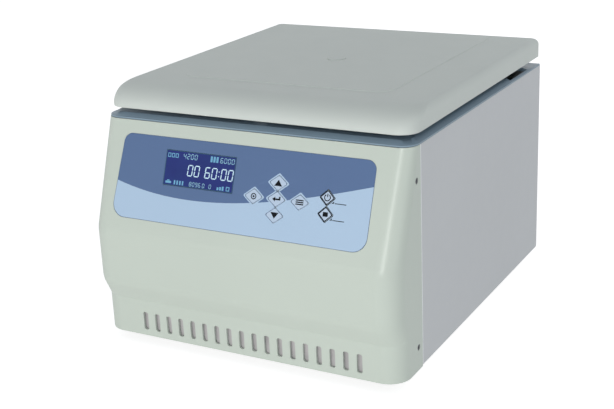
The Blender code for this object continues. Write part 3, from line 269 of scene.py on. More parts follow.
def solidify(thing, wall):
    step = thing.modifiers.new("wall", "SOLIDIFY")
    step.thickness = wall
    step.offset = -1.0
    step.use_even_offset = True
    return thing


def boolean(target, other, operation):
    """The step is applied at once, and the other shape is removed."""
    step = target.modifiers.new("shape", "BOOLEAN")
    step.operation = operation
    step.solver = "EXACT"
    step.object = other
    apply_steps(target)
    bpy.data.objects.remove(other, do_unlink=True)
    return target


def apply_steps(thing):
    bpy.context.view_layer.update()
    evaluated = thing.evaluated_get(bpy.context.evaluated_depsgraph_get())
    mesh = bpy.data.meshes.new_from_object(evaluated)
    thing.modifiers.clear()
    old = thing.data
    thing.data = mesh
    bpy.data.meshes.remove(old)
    return thing


def cut(target, *others):
    for other in others:
        boolean(target, other, "DIFFERENCE")
    return target


def join(target, *others):
    for other in others:
        boolean(target, other, "UNION")
    return target


def soften(thing, width, segments=2, angle=math.radians(32)):
    """Small rounds on every sharp edge, and flat faces that stay flat."""
    thing.data.shade_smooth()
    if width:
        step = thing.modifiers.new("edges", "BEVEL")
        step.width = width
        step.segments = segments
        step.limit_method = "ANGLE"
        step.angle_limit = angle
        step.use_clamp_overlap = True
    step = thing.modifiers.new("normals", "WEIGHTED_NORMAL")
    step.keep_sharp = True
    return thing


# Materials
class Shader:
    """A Principled material whose colour, roughness and relief come from noise in object space."""

    def __init__(self, name, colour, roughness, metallic=0.0, coat=0.0, coat_roughness=0.1, specular=0.5):
        self.kind = bpy.data.materials.new(name)
        self.kind.use_nodes = True
        self.tree = self.kind.node_tree
        self.principled = self.tree.nodes["Principled BSDF"]
        self.colour = colour
        self.roughness = roughness
        self.set("Metallic", metallic)
        self.set("Coat Weight", coat)
        self.set("Coat Roughness", coat_roughness)
        self.set("Specular IOR Level", specular)
        self.place = self.tree.nodes.new("ShaderNodeTexCoord").outputs["Object"]
        self.normal = None

    def set(self, socket, value):
        self.principled.inputs[socket].default_value = value

    def link(self, source, target):
        self.tree.links.new(source, target)

    def stretched(self, scale):
        mapping = self.tree.nodes.new("ShaderNodeMapping")
        mapping.inputs["Scale"].default_value = scale
        self.link(self.place, mapping.inputs["Vector"])
        return mapping.outputs["Vector"]

    def noise(self, scale, detail=2.0, stretch=None):
        texture = self.tree.nodes.new("ShaderNodeTexNoise")
        texture.inputs["Scale"].default_value = scale
        texture.inputs["Detail"].default_value = detail
        self.link(self.stretched(stretch) if stretch else self.place, texture.inputs["Vector"])
        return texture.outputs["Fac"]

    def remap(self, source, low, high, from_low=0.25, from_high=0.75):
        step = self.tree.nodes.new("ShaderNodeMapRange")
        step.inputs["From Min"].default_value = from_low
        step.inputs["From Max"].default_value = from_high
        step.inputs["To Min"].default_value = low
        step.inputs["To Max"].default_value = high
        self.link(source, step.inputs["Value"])
        return step.outputs["Result"]

    def mixed(self, factor, first, second):
        """A colour between two, where each is a colour or a socket."""
        mix = self.tree.nodes.new("ShaderNodeMix")
        mix.data_type = "RGBA"
        self.link(factor, mix.inputs["Factor"])
        for socket, value in (("A", first), ("B", second)):
            target = [s for s in mix.inputs if s.name == socket and s.type == "RGBA"][0]
            if isinstance(value, tuple):
                target.default_value = (*value, 1.0)
            else:
                self.link(value, target)
        return [s for s in mix.outputs if s.type == "RGBA"][0]

    def tinted(self, scale, spread, detail=3.0, stretch=None):
        """The base colour, darker and lighter by the spread in slow patches."""
        dark = tuple(c * (1 - spread) for c in self.colour)
        light = tuple(min(1.0, c * (1 + spread)) for c in self.colour)
        factor = self.remap(self.noise(scale, detail, stretch), 0.0, 1.0)
        shade = self.mixed(factor, dark, light)
        self.link(shade, self.principled.inputs["Base Color"])
        return shade

    def rough(self, scale, spread, detail=2.0, stretch=None):
        source = self.noise(scale, detail, stretch)
        result = self.remap(source, self.roughness - spread, self.roughness + spread)
        self.link(result, self.principled.inputs["Roughness"])

    def relief(self, source, strength, distance):
        bump = self.tree.nodes.new("ShaderNodeBump")
        bump.inputs["Strength"].default_value = strength
        bump.inputs["Distance"].default_value = distance
        self.link(source, bump.inputs["Height"])
        if self.normal is not None:
            self.link(self.normal, bump.inputs["Normal"])
        self.normal = bump.outputs["Normal"]
        self.link(self.normal, self.principled.inputs["Normal"])


def moulded(name, colour, roughness=0.34, coat=0.12):
    """Satin moulded plastic: a fine even grain, and slow changes of tone and gloss."""
    shader = Shader(name, colour, roughness, coat=coat, coat_roughness=0.22)
    shader.tinted(5.0, 0.018)
    shader.rough(38.0, 0.035)
    shader.relief(shader.noise(2600.0, 1.0), 0.10, 0.00006)
    shader.relief(shader.noise(240.0, 2.0), 0.05, 0.0001)
    return shader.kind


def powder_coat(name, colour, roughness=0.46):
    """Powder coat on steel: an orange peel of fine bumps with lighter specks."""
    shader = Shader(name, colour, roughness, coat=0.06, coat_roughness=0.35)
    shade = shader.tinted(4.0, 0.02)
    specks = shader.remap(shader.noise(2100.0, 1.0), 0.0, 0.10, 0.55, 0.75)
    light = tuple(min(1.0, c * 1.35) for c in colour)
    shader.link(shader.mixed(specks, shade, light), shader.principled.inputs["Base Color"])
    shader.rough(60.0, 0.04)
    shader.relief(shader.noise(950.0, 2.0), 0.22, 0.00012)
    return shader.kind


def brushed(name, colour, roughness, stretch, depth=0.00004):
    """Metal with fine parallel scratches along one axis."""
    shader = Shader(name, colour, roughness, metallic=1.0)
    shader.tinted(900.0, 0.05, 3.0, stretch)
    shader.rough(700.0, 0.07, 2.0, stretch)
    shader.relief(shader.noise(1300.0, 3.0, stretch), 0.22, depth)
    return shader.kind


def spun(name, colour, roughness):
    """Metal turned on a lathe: rings round the rotor's axis, and a slow change of tone."""
    shader = Shader(name, colour, roughness, metallic=1.0)
    shift = shader.tree.nodes.new("ShaderNodeMapping")
    shift.inputs["Location"].default_value = (0.0, -axis_y, 0.0)
    shader.link(shader.place, shift.inputs["Vector"])
    parts = shader.tree.nodes.new("ShaderNodeSeparateXYZ")
    shader.link(shift.outputs["Vector"], parts.inputs["Vector"])
    flat = shader.tree.nodes.new("ShaderNodeCombineXYZ")
    shader.link(parts.outputs["X"], flat.inputs["X"])
    shader.link(parts.outputs["Y"], flat.inputs["Y"])
    radius = shader.tree.nodes.new("ShaderNodeVectorMath")
    radius.operation = "LENGTH"
    shader.link(flat.outputs["Vector"], radius.inputs[0])
    rings = shader.tree.nodes.new("ShaderNodeCombineXYZ")
    shader.link(radius.outputs["Value"], rings.inputs["X"])
    shader.link(parts.outputs["Z"], rings.inputs["Z"])
    shader.place = rings.outputs["Vector"]
    shader.tinted(520.0, 0.05, 4.0)
    shader.rough(800.0, 0.06, 3.0)
    shader.relief(shader.noise(1500.0, 3.0), 0.20, 0.00005)
    return shader.kind


def rubbery(name, colour, roughness=0.72):
    shader = Shader(name, colour, roughness, specular=0.35)
    shader.tinted(30.0, 0.16)
    shader.rough(90.0, 0.08)
    shader.relief(shader.noise(1700.0, 2.0), 0.3, 0.00012)
    return shader.kind


def printed(name, colour, roughness=0.36, specular=0.22):
    """Ink behind a satin film with a very fine even texture."""
    shader = Shader(name, colour, roughness, specular=specular)
    shader.tinted(9.0, 0.012)
    shader.rough(50.0, 0.03)
    shader.relief(shader.noise(3200.0, 1.0), 0.16, 0.00005)
    return shader.kind


def lit(name, colour, strength):
    """Display segments lit from behind, a little uneven."""
    shader = Shader(name, colour, 0.2)
    shade = shader.tinted(160.0, 0.08)
    shader.link(shade, shader.principled.inputs["Emission Color"])
    shader.set("Emission Strength", strength)
    return shader.kind


def circuit(name):
    """Green solder mask over a mesh of copper tracks."""
    shader = Shader(name, (0.03, 0.16, 0.07), 0.35)
    brick = shader.tree.nodes.new("ShaderNodeTexBrick")
    brick.inputs["Scale"].default_value = 160.0
    brick.inputs["Mortar Size"].default_value = 0.03
    brick.inputs["Color1"].default_value = (0.02, 0.13, 0.05, 1.0)
    brick.inputs["Color2"].default_value = (0.03, 0.17, 0.07, 1.0)
    brick.inputs["Mortar"].default_value = (0.05, 0.30, 0.10, 1.0)
    shader.link(shader.stretched((1.0, 0.4, 1.0)), brick.inputs["Vector"])
    shader.link(brick.outputs["Color"], shader.principled.inputs["Base Color"])
    shader.rough(120.0, 0.08)
    shader.relief(brick.outputs["Fac"], 0.3, 0.0001)
    return shader.kind


cream = moulded("cream_moulding", (0.595, 0.655, 0.592), 0.33)
# The lid's colour is the cover's cream made lighter and bluer for how light falls on its top: painted
# light.
lid_plastic_lit_tint = moulded("lid_moulding", (0.642, 0.683, 0.652), 0.54, 0.0)
panel_paint = powder_coat("painted_panel", (0.600, 0.617, 0.635))
# The deck's dark blue-grey is partly painted shade: it stands in for the shadow under the lid's edge.
deck_plastic_shaded = moulded("deck_moulding", (0.235, 0.325, 0.405), 0.42)
# Near-white paint for the side panels' rounded front edges: a painted highlight line.
panel_edge_highlight = powder_coat("panel_front_edge_highlight", (0.90, 0.92, 0.93), 0.3)
# The pale sheet behind the vent slots: painted light inside the slots.
slot_light_finish = rubbery("vent_slot_light", (0.50, 0.48, 0.49), 0.8)
film_dark = printed("film_dark_blue", (0.112, 0.180, 0.340))
film_light = printed("film_light_blue", (0.468, 0.612, 0.795))
key_film = printed("key_film", (0.52, 0.63, 0.79))
line_blue = printed("print_mid_blue", (0.22, 0.30, 0.46))
ink = printed("print_black", (0.008, 0.009, 0.012), 0.5, 0.08)
steel = brushed("steel", (0.55, 0.56, 0.58), 0.34, (0.02, 1.0, 1.0))
dark_steel = brushed("dark_steel", (0.16, 0.165, 0.18), 0.38, (1.0, 0.1, 1.0))
zinc = brushed("zinc_sheet", (0.58, 0.59, 0.58), 0.42, (0.6, 0.04, 1.0), 0.00003)
liner_steel = brushed("liner_stainless", (0.62, 0.63, 0.64), 0.30, (0.02, 1.0, 1.0))
bowl_steel = spun("bowl_stainless", (0.62, 0.63, 0.64), 0.26)
alloy = spun("turned_aluminium", (0.70, 0.71, 0.73), 0.34)
cast_alloy = brushed("cast_aluminium", (0.62, 0.63, 0.65), 0.5, (1.0, 1.0, 0.2), 0.0001)
rubber = rubbery("black_rubber", (0.024, 0.024, 0.026))
black_plastic = moulded("black_plastic", (0.030, 0.030, 0.033), 0.44, 0.05)
board_green = circuit("circuit_board")
varnished = brushed("transformer_iron", (0.30, 0.13, 0.06), 0.45, (1.0, 0.05, 1.0), 0.0002)


# Placing pieces
def dress(piece, material, body, replaced=(), edges=None):
    piece.data.materials.clear()
    piece.data.materials.append(material)
    if edges is not None:
        soften(piece, edges)
    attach(piece, body)
    if replaced:
        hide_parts(*replaced)
    return piece


def polish(name, material, edges=0.0002, segments=2):
    """A carried-over node keeps its shape and gets its finish and small rounds on its edges."""
    node = nodes[name]
    node.data.materials.clear()
    node.data.materials.append(material)
    for polygon in node.data.polygons:
        polygon.material_index = 0
    custom = node.data.attributes.get("custom_normal")
    if custom:
        node.data.attributes.remove(custom)
    step = node.modifiers.new("weld", "WELD")
    step.merge_threshold = weld_gap
    soften(node, edges, segments)


def round_front_edge(name):
    """A copy of a side panel whose outer front edge is rounded and painted near white: a painted highlight
    along that edge.
    """
    mesh = nodes[name].data.copy()
    custom = mesh.attributes.get("custom_normal")
    if custom:
        mesh.attributes.remove(custom)
    panel = add_object(name + "_skin", mesh)
    shape = bmesh.new()
    shape.from_mesh(mesh)
    bmesh.ops.remove_doubles(shape, verts=shape.verts, dist=weld_gap)
    edges = []
    for edge in shape.edges:
        here = [v.co for v in edge.verts]
        outside = all(abs(abs(co.x) - half) < seat_gap and abs(co.y - seam) < seat_gap for co in here)
        if outside and abs(here[0].z - here[1].z) > overrun:
            edges.append(edge)
    bmesh.ops.bevel(shape, geom=edges, offset=panel_edge, segments=5, profile=0.5, affect="EDGES")
    shape.to_mesh(mesh)
    shape.free()
    dress(panel, panel_paint, "case", [name], panel_soft_edge)
    # The faces of the rounded front edge get the near-white paint: a painted highlight.
    mesh.materials.append(panel_edge_highlight)
    for polygon in mesh.polygons:
        at_front = all(mesh.vertices[i].co.y < seam + 1.5 * panel_edge for i in polygon.vertices)
        if at_front and abs(polygon.center.x) > half - panel_edge:
            polygon.material_index = 1


def face_place():
    """X to the right, Y up the slope, Z out of the face, from the face's top edge."""
    place = Matrix.Translation((0.0, face_top_y, case_top))
    return place @ Matrix.Rotation(math.radians(90) - slope_angle, 4, "X")


face = face_place()


# The front cover
def slope_set_back(height):
    return top_set_back * (height - belly_high) / (case_height - belly_high)


def cover_profile():
    places = [
        (skirt_set_back, 0.0),
        (skirt_set_back, skirt_height),
        (0.0, belly_low),
        (0.0, belly_high),
        (slope_set_back(wall_top - floor_z), wall_top - floor_z),
    ]
    return filleted(places, [0.0, skirt_bend, belly_bend, belly_bend, 0.0], bend_steps)


def cover_plan(set_back, radius):
    edge = seam - seat_gap
    corners = [(-half, edge), (-half, front + set_back), (half, front + set_back), (half, edge)]
    return filleted(corners, [0.0, radius, radius, 0.0], corner_steps)


def rectangle(left, low, right, top, radius, inset=0.0, steps=4):
    corners = [(left + inset, low + inset), (right - inset, low + inset),
               (right - inset, top - inset), (left + inset, top - inset)]
    return filleted(corners, [radius] * 4, steps, closed=True)


def overlay_outline(inset):
    """The film's outline, wider below on its left, with the larger rounds at its foot."""
    corners = [
        (-overlay_left_low + inset, -overlay_low + inset),
        (overlay_right - inset, -overlay_low + inset),
        (overlay_right - inset, -overlay_top - inset),
        (-overlay_left_top + inset, -overlay_top - inset),
    ]
    radii = [overlay_radius_low, overlay_radius_low, overlay_radius, overlay_radius]
    return filleted(corners, radii, overlay_steps, closed=True)


def diamond(half_width, half_height, radius, centre, steps=4):
    corners = [(-half_width, 0), (0, -half_height), (half_width, 0), (0, half_height)]
    return moved(filleted(corners, [radius] * 4, steps, closed=True), centre)


def key_hole(half_width, half_height, centre):
    return diamond(half_width + key_play, half_height + key_play, key_radius, centre)


def window_outline(inset, radius=window_radius):
    return rectangle(-window_left, -window_low, -window_right, -window_top, radius, inset)


def key_places():
    """For each key, its middle on the face and its half width and half height."""
    big = (key_half_width, key_half_height)
    small = (run_key_half_width, run_key_half_height)
    return {
        "enter": ((key_cross_x, -key_cross_down), big),
        "up": ((key_cross_x, -key_cross_down + key_step_down), big),
        "down": ((key_cross_x, -key_cross_down - key_step_down), big),
        "set": ((key_cross_x - key_step_across, -key_cross_down), big),
        "program": ((key_cross_x + key_step_across, -key_cross_down), big),
        "start": ((run_key_x, -key_cross_down + run_key_step / 2), small),
        "stop": ((run_key_x, -key_cross_down - run_key_step / 2), small),
    }


def vent_cutter():
    middle = floor_z + vent_foot + vent_height / 2
    place = Matrix.Translation((vent_row_shift, front + skirt_set_back + overrun, middle))
    place = place @ Matrix.Rotation(math.radians(90), 4, "X")
    across = vent_width / 2
    along = vent_height / 2
    slot = rectangle(-across, -along, across, along, vent_corner, steps=vent_corner_steps)
    first = -vent_pitch * (vent_count - 1) / 2
    outlines = [moved(slot, (first + vent_pitch * i, 0.0)) for i in range(vent_count)]
    return prism("vents", outlines, -overrun, skirt_set_back + overrun, place)


def screw_middles():
    for place in screw_places:
        low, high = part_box(f"cover_screw_{place}")
        side = 1 if low.x > 0 else -1
        yield side, (low.y + high.y) / 2, (low.z + high.z) / 2


def make_front_cover():
    rings = []
    for set_back, height in cover_profile():
        share = max(0.0, (height - belly_high) / (case_height - belly_high))
        radius = corner_radius_low + (corner_radius_top - corner_radius_low) * share
        rings.append([(p[0], p[1], floor_z + height) for p in cover_plan(set_back, radius)])
    cover = apply_steps(solidify(loft("front_cover_skin", rings, closed=False), moulded_wall))
    cut(cover, vent_cutter())
    cut(cover, prism("recess", [overlay_outline(0.0)], -overlay_recess, overrun, face))
    window = window_outline(-seat_gap)
    cut(cover, prism("window_hole", [window], -moulded_wall - overrun, overrun, face))
    holes = [circle(key_stem_radius + key_play, 20, place) for place, _ in key_places().values()]
    cut(cover, prism("key_holes", holes, -moulded_wall - overrun, overrun, face))
    for side, y, z in screw_middles():
        out = half - screw_sink
        seat = [(side * x, y, z) for x in (out - screw_head_height - seat_gap, out + overrun)]
        cut(cover, cylinder("screw_seat", screw_radius + seat_gap, *seat, 32))
        hole = [(side * x, y, z) for x in (out - screw_length, out)]
        cut(cover, cylinder("screw_hole", screw_shank_radius + seat_gap, *hole, 16))
    return dress(cover, cream, "case", ["front_cover"], 0.0004)


def make_vent_slot_light():
    """A pale sheet close behind the slots, so that their insides look lit: painted light."""
    near = front + skirt_set_back + moulded_wall + slot_light_gap
    reach = vent_pitch * vent_count / 2 + overrun
    top = floor_z + vent_foot + vent_height + overrun
    low = (vent_row_shift - reach, near, floor_z + overrun)
    high = (vent_row_shift + reach, near + slot_light_wall, top)
    screen = box("vent_slot_light", low, high)
    dress(screen, slot_light_finish, "case", (), 0.0002)


# The lid
def lid_outline(height):
    """The lid's outline at a height: the front draws in long and soft, sides and back only near the top."""
    crown = lid_height - lid_field_rise

    def drawn_in(depth, rise):
        over = height - (crown - rise)
        return depth * (1 - math.sqrt(max(0.0, 1 - (over / rise) ** 2))) if over > 0 else 0.0

    side = lid_box_high.x - drawn_in(lid_side_round, lid_side_round)
    low = lid_box_low.y + drawn_in(lid_front_round_depth, lid_front_round_height)
    high = lid_box_high.y - drawn_in(lid_back_round, lid_back_round)
    corners = [(-side, high), (-side, low), (side, low), (side, high)]
    radii = [lid_back_corner_radius, lid_corner_radius, lid_corner_radius, lid_back_corner_radius]
    return filleted(corners, radii, corner_steps, closed=True)


def make_lid():
    crown = lid_height - lid_field_rise
    top = lid_low + crown
    rings = [[(p.x, p.y, lid_low) for p in lid_outline(0.0)]]
    start = crown - lid_front_round_height
    for i in range(1, lid_round_steps + 1):
        height = start + (crown - start) * math.sin(math.pi / 2 * i / lid_round_steps)
        rings.append([(p.x, p.y, lid_low + height) for p in lid_outline(height)])
    lid = apply_steps(solidify(loft("lid_skin", rings, cap_last=True), lid_wall))
    join(lid, make_lid_field(top))
    hole = port_radius - port_lip
    cut(lid, cylinder("port_hole", hole, (0, axis_y, top - 2 * lid_wall), (0, axis_y, top + overrun)))
    seat_z = top + lid_field_rise - port_lip
    cut(lid, cylinder("port_seat", port_radius + seat_gap, (0, axis_y, seat_z), (0, axis_y, top + overrun)))
    return dress(lid, lid_plastic_lit_tint, "lid", ["lid_shell"], 0.0005)


def make_lid_field(top):
    """The very low raised field in the lid's top."""
    rings = []
    levels = ((0.0, top - lid_wall / 2), (0.0, top), (lid_field_slope, top + lid_field_rise))
    for inset, z in levels:
        side = lid_field_half_width - inset
        low = face_top_y + lid_field_front + inset
        high = back - 2 * lid_back_round - inset
        corners = [(-side, high), (-side, low), (side, low), (side, high)]
        outline = filleted(corners, [lid_field_radius - inset] * 4, lid_field_steps, closed=True)
        rings.append([(p.x, p.y, z) for p in outline])
    return loft("lid_field", rings, cap_first=True, cap_last=True)


# The printed control face
divide_downs = (0.0794, 0.11177, 0.08397, 0.04933)
sheet_lift = 0.00003
print_lift = 0.00006
print_sink = seat_gap / 20
frame_margin = 0.0027
frame_margin_high = 0.0028
line_width = 0.0005
run_line_across = 3.6 * line_width
run_line_down = 3.4 * line_width


def divide_line(count=28):
    """The line between the two blues, a cubic curve from the film's left edge to its right edge."""
    points = []
    left = -overlay_left_low
    right = overlay_right
    a, b, c, d = divide_downs
    for i in range(count + 1):
        t = i / count
        down = a * (1 - t) ** 3 + 3 * b * t * (1 - t) ** 2 + 3 * c * t * t * (1 - t) + d * t ** 3
        points.append((left + (right - left) * t, -down))
    return points


def make_overlay():
    """A dark film with holes for window and keys, and a thin light layer over its lower part."""
    holes = [key_hole(wide, high, place) for place, (wide, high) in key_places().values()]
    outlines = [overlay_outline(seat_gap), window_outline(-seat_gap), *holes]
    film = prism("overlay_film", outlines, -overlay_thickness, 0.0, face)
    dress(film, film_dark, "case", ["control_overlay"], 0.0)
    lower = divide_line() + [(overlay_right + overrun, -overlay_low - overrun),
                             (-overlay_left_low - overrun, -overlay_low - overrun)]
    light = prism("overlay_light", [overlay_outline(2 * seat_gap)], 0.0, sheet_lift, face)
    area = prism("lower_area", [lower], -overrun, overrun, face)
    boolean(light, area, "INTERSECT")
    for hole in holes:
        cut(light, prism("key_hole", [hole], -overrun, overrun, face))
    dress(light, film_light, "case", (), 0.0)


def mark(name, outlines, body, material=ink, lift=key_proud):
    """Flat print on a key, or on the film where the body is the case."""
    piece = prism(name, outlines, lift - print_sink, lift + print_lift, face)
    dress(piece, material, body, (), 0.0)


def make_key_border(name, place, wide, high, others):
    """The light border round a key, cut away where the next key's hole comes close."""
    outer = diamond(wide + frame_margin, high + frame_margin_high, key_radius, place)
    low = sheet_lift / 2 - print_sink
    border = prism(f"border_{name}", [outer, key_hole(wide, high, place)], low, 1.5 * sheet_lift, face)
    for other in others:
        if other != place and math.dist(other, place) < 2 * key_half_width:
            cut(border, prism("key_hole", [key_hole(wide, high, other)], -overrun, overrun, face))
    dress(border, film_light, "case", (), 0.0)


def make_key_prints():
    """Light borders and blue rims on the five setting keys, thick black outlines on the two run keys."""
    setting_keys = [place for place, size in key_places().values() if size[0] == key_half_width]
    for name, (place, (wide, high)) in key_places().items():
        body = f"{name}_key"
        if place in setting_keys:
            make_key_border(name, place, wide, high, setting_keys)
            slim = high / wide
            rim = seat_gap + line_width
            outer = diamond(wide - seat_gap, high - seat_gap * slim, key_radius, place)
            inner = diamond(wide - rim, high - rim * slim, key_radius, place)
            mark(f"rim_{name}", [outer, inner], body, line_blue)
        else:
            outer = diamond(wide + 2 * key_play, high + 2 * key_play, key_radius, place)
            mark(f"line_{name}", [outer, key_hole(wide, high, place)], "case", ink, sheet_lift)
            outer = diamond(wide - seat_gap / 2, high - seat_gap / 2, key_radius, place)
            inner = diamond(wide - run_line_across, high - run_line_down, key_radius / 2, place)
            mark(f"rim_{name}", [outer, inner], body)


# The signs, each round its key's middle
arrow_half_width = 0.0054
arrow_half_height = 0.0037
dial_radius = 0.0038
dial_inner_radius = 0.0026
dial_dot_radius = 0.0013
return_reach = 0.0054
return_rise = 0.0034
return_tip = 0.0056
return_neck = 0.0016
return_head = 0.0030
return_stroke = 0.0010
bar_reach = 0.0052
bar_step = 0.0024
bar_stroke = 0.0007
power_radius = 0.0043
power_inner_radius = 0.0031
power_gap = math.radians(34)
power_steps = 30
power_bar = 0.0006
power_bar_top = 0.0046
square_reach = 0.0033
square_height_share = 0.8
square_corner = 0.0005
tag_across = 0.0085
tag_down = 0.0062
pointer_left = 0.0026
pointer_right = 0.0006
pointer_height = 0.0028
underline_start = 0.0014
underline_end = 0.0165
underline_height = 0.0009


def dial_sign(x, y):
    return [circle(dial_radius, 28, (x, y)), circle(dial_inner_radius, 28, (x, y))]


def return_sign(x, y):
    right = x + return_reach
    inner_right = right - 2 * return_stroke
    neck = x - return_neck
    return [(right, y + return_rise), (right, y - return_stroke), (neck, y - return_stroke),
            (neck, y - return_head), (x - return_tip, y), (neck, y + return_head),
            (neck, y + return_stroke), (inner_right, y + return_stroke), (inner_right, y + return_rise)]


def power_sign(x, y):
    """A ring that is open at its top."""
    sweep = 2 * math.pi - 2 * power_gap
    turns = [math.pi / 2 + power_gap + sweep * i / power_steps for i in range(power_steps + 1)]
    outer = [(x + power_radius * math.cos(a), y + power_radius * math.sin(a)) for a in turns]
    inner = [(x + power_inner_radius * math.cos(a), y + power_inner_radius * math.sin(a)) for a in turns]
    return outer + inner[::-1]


def make_symbols():
    """Plain signs: arrows, a dot in a ring, a return corner, three bars, a power ring and a square."""
    middles = {name: place for name, (place, _) in key_places().items()}
    for name, tall in (("up", arrow_half_height), ("down", -arrow_half_height)):
        x, y = middles[name]
        points = [(x - arrow_half_width, y - tall), (x + arrow_half_width, y - tall), (x, y + tall)]
        mark(f"sign_{name}", [points], f"{name}_key")
    mark("sign_set", dial_sign(*middles["set"]), "set_key")
    mark("sign_set_dot", [circle(dial_dot_radius, 20, middles["set"])], "set_key")
    mark("sign_enter", [return_sign(*middles["enter"])], "enter_key")
    x, y = middles["program"]
    for i in (-1, 0, 1):
        level = y + i * bar_step
        bar = rectangle(x - bar_reach, level - bar_stroke, x + bar_reach, level + bar_stroke, 0.0)
        mark(f"sign_program_{i + 2}", [bar], "program_key")
    x, y = middles["start"]
    mark("sign_start", [power_sign(x, y)], "start_key")
    bar = rectangle(x - power_bar, y + power_bar, x + power_bar, y + power_bar_top, 0.0)
    mark("sign_start_bar", [bar], "start_key")
    x, y = middles["stop"]
    tall = square_height_share * square_reach
    square = rectangle(x - square_reach, y - tall, x + square_reach, y + tall, square_corner)
    mark("sign_stop", [square], "stop_key")
    for name in ("start", "stop"):
        left = middles[name][0] + tag_across
        low = middles[name][1] - tag_down
        right = left + pointer_right
        pointer = [(left - pointer_left, low), (right, low), (right, low + pointer_height)]
        mark(f"pointer_{name}", [pointer], "case", ink, sheet_lift)
        line = rectangle(left + underline_start, low, left + underline_end, low + underline_height, 0.0)
        mark(f"underline_{name}", [line], "case", ink, sheet_lift)


# The display
display_glow = lit("display_digits", (0.50, 0.68, 0.80), 0.30)
display_dim = lit("display_small_digits", (0.24, 0.46, 0.58), 0.25)
display_faint = lit("display_marks", (0.13, 0.34, 0.52), 0.20)
display_edge = lit("display_edge", (0.020, 0.075, 0.135), 0.08)
top_row = 0.0439
time_row = 0.0646
low_row = 0.0767
digit_gap_share = 0.16
digit_lean = 0.06
colon_shares = (0.3, 0.7)
colon_shift = 0.12
colon_step = 0.38
blank_step = 0.6
display_border_width = 3 * seat_gap
lit_segments = {
    "0": "abcdef", "1": "bc", "2": "abged", "3": "abgcd", "4": "fgbc", "5": "afgcd", "6": "afgedc",
    "7": "abc", "8": "abcdefg", "9": "abcdfg",
}


def digit_outlines(digit, left, low, width, height, stroke):
    """Seven bars with cut ends, of which the digit lights some."""
    gap = stroke * digit_gap_share
    middle = low + height / 2
    right = left + width
    top = low + height
    end = stroke / 2

    def across(y):
        near = left + stroke + gap
        far = right - stroke - gap
        return [(left + end + gap, y), (near, y - end), (far, y - end),
                (right - end - gap, y), (far, y + end), (near, y + end)]

    def upright(x, start, stop):
        near = start + end + gap
        far = stop - end - gap
        return [(x, start + gap), (x + end, near), (x + end, far),
                (x, stop - gap), (x - end, far), (x - end, near)]

    bars = {
        "a": across(top - end),
        "b": upright(right - end, middle, top - end),
        "c": upright(right - end, low + end, middle),
        "d": across(low + end),
        "e": upright(left + end, low + end, middle),
        "f": upright(left + end, middle, top - end),
        "g": across(middle),
    }
    return [[(x + (y - low) * digit_lean, y) for x, y in bars[bar]] for bar in lit_segments[digit]]


def number(name, text, left, row, width, height, step, stroke, material=display_dim):
    """Digits of one width and height, a step apart, on a row at a distance down the face."""
    outlines = []
    x = left
    for character in text:
        if character == ":":
            for share in colon_shares:
                outlines.append(circle(stroke * 0.6, 10, (x + step * colon_shift, -row + height * share)))
            x += step * colon_step
        elif character == " ":
            x += step * blank_step
        else:
            outlines += digit_outlines(character, x, -row, width, height, stroke)
            x += step
    piece = prism(name, outlines, 0.0, print_lift, face)
    dress(piece, material, "case", (), 0.0)


def blocks(left, low, width, height, corner, count=1, step=0.0, rise=0.0):
    """A row of blocks, each a step further right and a rise taller than the last."""
    row = []
    for i in range(count):
        start = left + step * i
        row.append(rectangle(start, low, start + width, low + height + rise * i, corner))
    return row


def make_display():
    """Plain numbers and small generic marks on the dark window."""
    number("display_time", "00 60:00", -0.0785, time_row, 0.0077, 0.0142, 0.00975, 0.0013, display_glow)
    number("display_speed", "4200", -0.0868, top_row, 0.0041, 0.0068, 0.0055, 0.0008)
    number("display_force", "6000", -0.0330, top_row, 0.0041, 0.0066, 0.0054, 0.0008)
    number("display_count", "8096", -0.0735, low_row, 0.0033, 0.0056, 0.0044, 0.0007)
    number("display_level", "0 0", -0.0545, low_row, 0.0033, 0.0056, 0.0060, 0.0007)
    border = [window_outline(0.0), window_outline(display_border_width, window_radius / 2)]
    mark("display_border", border, "case", display_edge, 0.0)
    low = -low_row
    tray = blocks(-0.1085, low + 0.0008, 0.0085, 0.0028, 0.0008)
    tray += blocks(-0.1060, low + 0.0038, 0.0035, 0.0014, 0.0005)
    bars = blocks(-0.0960, low, 0.0022, 0.0052, 0.0003, 4, 0.0040)
    rising = blocks(-0.0330, low, 0.0026, 0.0034, 0.0003, 3, 0.0036, 0.0008)
    framed = blocks(-0.0200, low, 0.0050, 0.0054, 0.0004)
    framed += blocks(-0.0189, low + 0.0011, 0.0028, 0.0032, 0.0003)
    windows = blocks(-0.1095, -0.0437, 0.0044, 0.0055, 0.0004, 3, 0.0056)
    windows += blocks(-0.1085, -0.0427, 0.0024, 0.0035, 0.0003, 3, 0.0056)
    stack = blocks(-0.0470, -0.0440, 0.0030, 0.0072, 0.0003, 3, 0.0042)
    marks = tray + bars + rising + framed + windows + stack
    piece = prism("display_marks", marks, 0.0, print_lift, face)
    dress(piece, display_faint, "case", (), 0.0)


def display_window_material():
    """Clear gloss over a dark indigo panel with slow bluer patches."""
    shader = Shader("display_window", (0.022, 0.026, 0.15), 0.22, specular=0.12)
    shade = shader.tinted(24.0, 0.25)
    slow = shader.remap(shader.noise(14.0, 1.0), 0.0, 0.7)
    tinge = shader.mixed(slow, (0.02, 0.03, 0.15), (0.025, 0.06, 0.17))
    blend = shader.mixed(shader.remap(shader.noise(40.0, 2.0), 0.2, 0.8), shade, tinge)
    shader.link(blend, shader.principled.inputs["Base Color"])
    shader.link(blend, shader.principled.inputs["Emission Color"])
    shader.set("Emission Strength", 0.25)
    return shader.kind


make_front_cover()
make_vent_slot_light()
make_lid()
make_overlay()
make_key_prints()
make_symbols()
make_display()

for name in ("left_side_panel", "right_side_panel"):
    round_front_edge(name)
polish("top_deck", deck_plastic_shaded, 0.0004, 3)

